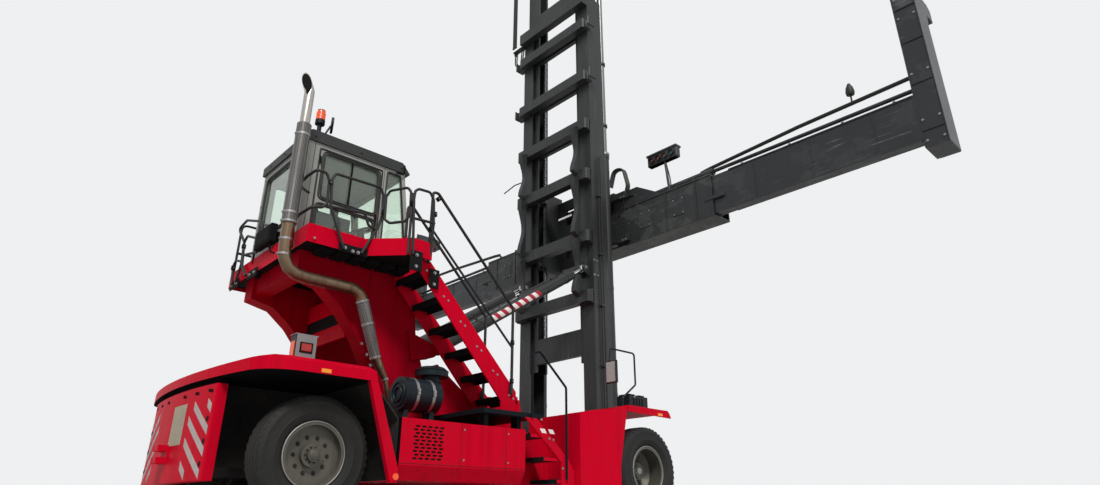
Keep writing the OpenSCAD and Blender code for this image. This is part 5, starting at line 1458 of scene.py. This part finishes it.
# %% Mast hoses, pipes, rings and bracket
LIFT_X = 0.750
LIFT_Y = 0.834
PIPE_MIDDLE = -0.955
hoses, dark, steel = blanks(3)
for k, y in enumerate((1.16, 1.11, 0.97, 0.92)):
    add_tube(hoses, [(0.22 + 0.015 * k, y, 9.38), (0.24, y + 0.03, 9.05), (0.30, y - 0.06, 8.86 + 0.03 * k),
                     (0.38, 0.955, 9.02), (0.40, 0.945, 8.60), (0.40 + 0.03 * k, 0.940, 3.20)],
             0.014, 0.12, 8)
add_block(dark, (0.19, 0.90, 9.335), (0.30, 1.22, 9.365), 0.006)
add_block(dark, (0.24, 1.19, 9.30), (0.30, 1.24, 9.42), 0.008)
add_tube(dark, [(0.26, 0.93, 6.10), (0.26, 1.15, 6.12), (0.22, 1.42, 6.02)], 0.012, 0.05)
for z in (3.6, 4.9, 6.9, 7.9, 8.6):
    add_box(dark, (0.445, 0.940, z), (0.120, 0.044, 0.04), 0.005)
for y in (-0.955, -0.975):
    x = 0.42 - (y - PIPE_MIDDLE) * 2
    add_tube(hoses, [(x, y, 0.95), (x, y, 5.90), (0.50, y, 6.02)], 0.011, 0.05, 8)
for z in (1.2, 2.2, 3.2, 4.1, 5.2):
    add_box(dark, (0.44, -0.953, z), (0.08, 0.070, 0.036), 0.005)
for side in (-1, 1):
    y = side * LIFT_Y
    add_bar(steel, (LIFT_X, y, 6.17), (LIFT_X, y, 6.22), 0.092, None, 32, 0.006)
    add_ring(steel, (LIFT_X, y, 0.645), 0.074, 0.092, 0.025)
    for z in (1.8, 3.6, 5.1):
        add_ring(dark, (LIFT_X, y, z), 0.074, 0.084, 0.03)
        add_box(dark, (0.6725, y, z), (0.035, 0.06, 0.05), 0.004)
    for z in (6.80, 8.2):
        add_ring(dark, (LIFT_X, y, z), 0.056, 0.074, 0.022)
        add_box(dark, (0.650, side * 0.86, z), (0.100, 0.04, 0.036), 0.004)
        add_bolt(steel, (LIFT_X, side * 0.910, z), (0, side, 0), 0.014)
finished("mast_hoses", {"seal_rubber": hoses, "black_paint": dark, "worn_steel": steel}, "outer_mast")

# %% [markdown]
# The long mirrors stand far out on the fenders, so that the driver sees past the mast. Each has a
# mirror pane in a rubber rim. A pale grease strip on the mast's bar is the only light mark up there.

# %% Mirror panes, and the grease strip
MIRROR_Y = 2.07
PANE_X = -0.682
RIM_CORNERS = ((-0.084, 1.668), (0.084, 1.668), (0.084, 1.952), (-0.084, 1.952))
pane, rim, pale = blanks(3)
for side in (-1, 1):
    y = side * MIRROR_Y
    add_block(pane, (-0.6845, y - 0.078, 1.675), (-0.680, y + 0.078, 1.945), 0.001)
    add_tube(rim, [(PANE_X, y + across, z) for across, z in RIM_CORNERS], 0.006, 0.02, 8, closed=True)
finished("mirror_panes", {"mirror_face": pane, "seal_rubber": rim}, "chassis")
add_block(pale, (0.199, -0.50, 4.90), (0.203, -0.17, 4.935), 0)
finished("grease_strip", {"white_paint": pale}, "outer_mast")

# %% [markdown]
# The carriage slides on guide bars and hangs from hose loops that follow it. The hoses bend out in a
# wide bow beside the mast, because they must reach both ends of the stroke.

# %% Carriage: hose bow, rollers and bolts
BOW_STEP = 0.035
CARRIAGE_BACK = 0.884
hoses, steel = blanks(2)
for k in range(3):
    off = BOW_STEP * k
    add_tube(hoses, [(0.90 + off, -0.80, 5.60), (0.94 + off, -0.86, 5.93), (0.95 + off, -1.08, 5.90),
                     (0.95 + off, -1.17, 5.52), (0.97 + off, -1.02, 5.14), (1.00, -0.92, 5.00)],
             0.020, 0.16, 8)
for y in (-1.10, -0.60, 0.60, 1.10):
    for z in (4.46, 5.28):
        for aside in (-0.035, 0.035):
            add_bolt(steel, (CARRIAGE_BACK, y + aside, z), BACK, 0.016)
for side in (-1, 1):
    for z in (4.30, 5.60):
        add_bar(steel, (0.60, side * 0.515, z), (0.60, side * 0.535, z), 0.075, None, 28, 0.005)
finished("carriage_fittings", {"seal_rubber": hoses, "worn_steel": steel}, "carriage")

# %% [markdown]
# The spreader grips a container by its side, so it lives a rough life. Flanges and ribs stiffen its
# frame, cover plates are bolted on, hoses run along its top, and a lamp cluster looks back.

# %% Spreader frame: flanges, plates, hoses and lamps
FRAME_BACK = 1.000
LAMP_X = 0.985
LAMP_Z = 5.795
LENS_BULGE = [(0.0, 0.016), (0.030, 0.013), (0.049, 0.004), (0.049, 0.0)]
LENS_HOOD = [(0.055, 0.0), (0.055, 0.035), (0.049, 0.035), (0.049, 0.0)]
dark, steel, hoses, green, red, amber = blanks(6)
for side in (-1, 1):
    add_box(dark, (FRAME_BACK + 0.220, side * 2.885, 4.69), (0.460, 0.350, 0.06), 0.006)
    for z in (4.40, 5.11):
        add_box(dark, (FRAME_BACK + 0.009, side * 1.95, z - 0.003), (0.042, 1.80, 0.030), 0.004)
    for y in (1.35, 1.95, 2.55):
        add_box(dark, (FRAME_BACK - 0.006, side * y, 4.76), (0.016, 0.016, 0.68), 0)
    for y in (1.50, 2.20):
        add_box(dark, (FRAME_BACK - 0.003, side * y, 4.76), (0.010, 0.22, 0.32), 0.003)
        for aside in (-0.09, 0.09):
            for z in (4.63, 4.89):
                add_bolt(steel, (FRAME_BACK - 0.008, side * y + aside, z), BACK, 0.010)
for y0, y1, z in ((-2.70, -1.20, 5.14), (-2.60, -1.10, 5.165), (1.10, 2.70, 5.14)):
    add_tube(hoses, [(1.06, y0, z), (1.06, y1, z)], 0.013, 0.05, 8)
for y in (-2.5, -2.0, -1.5, 1.5, 2.0, 2.5):
    add_box(dark, (1.06, y, 5.145), (0.05, 0.04, 0.08), 0.004)
add_tube(hoses, [(1.04, -1.35, 5.12), (1.00, -1.30, 5.30), (0.98, -1.12, 5.32), (0.98, -1.05, 5.10)],
         0.016, 0.08, 8)
add_block(dark, (0.985, -2.26, 5.70), (1.10, -1.63, 5.905), 0.014)
add_block(dark, (0.965, -2.27, 5.885), (1.12, -1.62, 5.925), 0.008)
for y, lens in ((-2.15, green), (-2.01, amber), (-1.87, red), (-1.73, red)):
    socket_place = facing((LAMP_X, y, LAMP_Z), BACK)
    add_turned(dark, LENS_HOOD, socket_place, 28, True)
    add_turned(lens, LENS_BULGE, socket_place, 28)
add_tube(hoses, [(1.05, -1.98, 5.70), (1.08, -2.02, 5.40), (1.05, -2.06, 5.12)], 0.010, 0.05)
finished("spreader_fittings", {"spreader_paint": dark, "worn_steel": steel, "seal_rubber": hoses,
                               "green_lens": green, "red_lens_dim": red, "amber_dim": amber}, "spreader")

# %% [markdown]
# The beams slide out of the frame. Plates and flanges stiffen them, a hose and a rod lie on top, and
# the end arm is a welded box with rows of bolts and a lifting eye.

# %% Beams: plates, bolts, eyes and hose rods
ARM_Y = 6.09
ARM_BACK = 1.038
HOSE_ROD = ((2.62, 5.26), (2.80, 5.28), (4.36, 5.37), (5.97, 5.41))
BULB = [  # radius and height of the dark bulb on the right beam
    (0.0, 0.0), (0.055, 0.01), (0.062, 0.05), (0.050, 0.12), (0.018, 0.19), (0.0, 0.20)]
for side, word, x0, x1 in ((-1, "right", 1.032, 1.202), (1, "left", 1.246, 1.416)):
    dark, steel, hoses = blanks(3)
    out = (0, side, 0)
    for y in (3.6, 4.5, 5.4):
        add_box(dark, (x0 - 0.001, side * y, 4.755), (0.010, 0.020, 0.63), 0)
    for z in (4.432, 5.078):
        add_box(dark, ((x0 + x1) / 2 - 0.004, side * 4.55, z), (x1 - x0 + 0.016, 2.76, 0.016), 0.003)
    add_tube(hoses, [(x0 + 0.05, side * 3.15, 5.115), (x0 + 0.05, side * 5.93, 5.115)], 0.012, 0.05, 8)
    add_tube(hoses, [(1.12, side * y, z) for y, z in HOSE_ROD], 0.030, 0.3, 10)
    for y in (3.4, 4.2, 5.0, 5.7):
        add_box(dark, (x0 + 0.05, side * y, 5.1025), (0.04, 0.036, 0.065), 0.004)
    add_box(steel, (x0 + 0.22, side * 5.17, 5.1125), (0.04, 0.06, 0.055), 0.004)
    for y in (5.9515, 6.2285):
        add_box(dark, (1.2375, side * y, 5.53), (0.415, 0.013, 2.44), 0.003)
    for z in (4.55, 5.25, 5.9, 6.45):
        add_box(dark, (1.035, side * ARM_Y, z), (0.014, 0.276, 0.016), 0)
    for z in (4.40, 4.70, 5.40, 6.30, 6.62):
        for y in (5.99, 6.19):
            add_bolt(steel, (ARM_BACK, side * y, z), BACK, 0.013)
    add_ring(steel, (1.24, side * ARM_Y, 6.76), 0.035, 0.065, 0.015, 28, out)
    if word == "right":
        add_bar(hoses, (1.10, -5.17, 5.38), (1.10, -5.17, 5.52), 0.012, None, 10)
        add_turned(hoses, BULB, facing((1.10, -5.17, 5.51), UP), 20)
    finished("beam_fittings_" + word, {"beam_paint": dark, "worn_steel": steel, "seal_rubber": hoses},
             "beam_" + word)

# %% [markdown]
# Print the box round all shown objects but the stage, and close the script.

# %% Sizes, and the end
low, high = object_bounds()
print("box", [round(v, 3) for v in (*low, *high)])
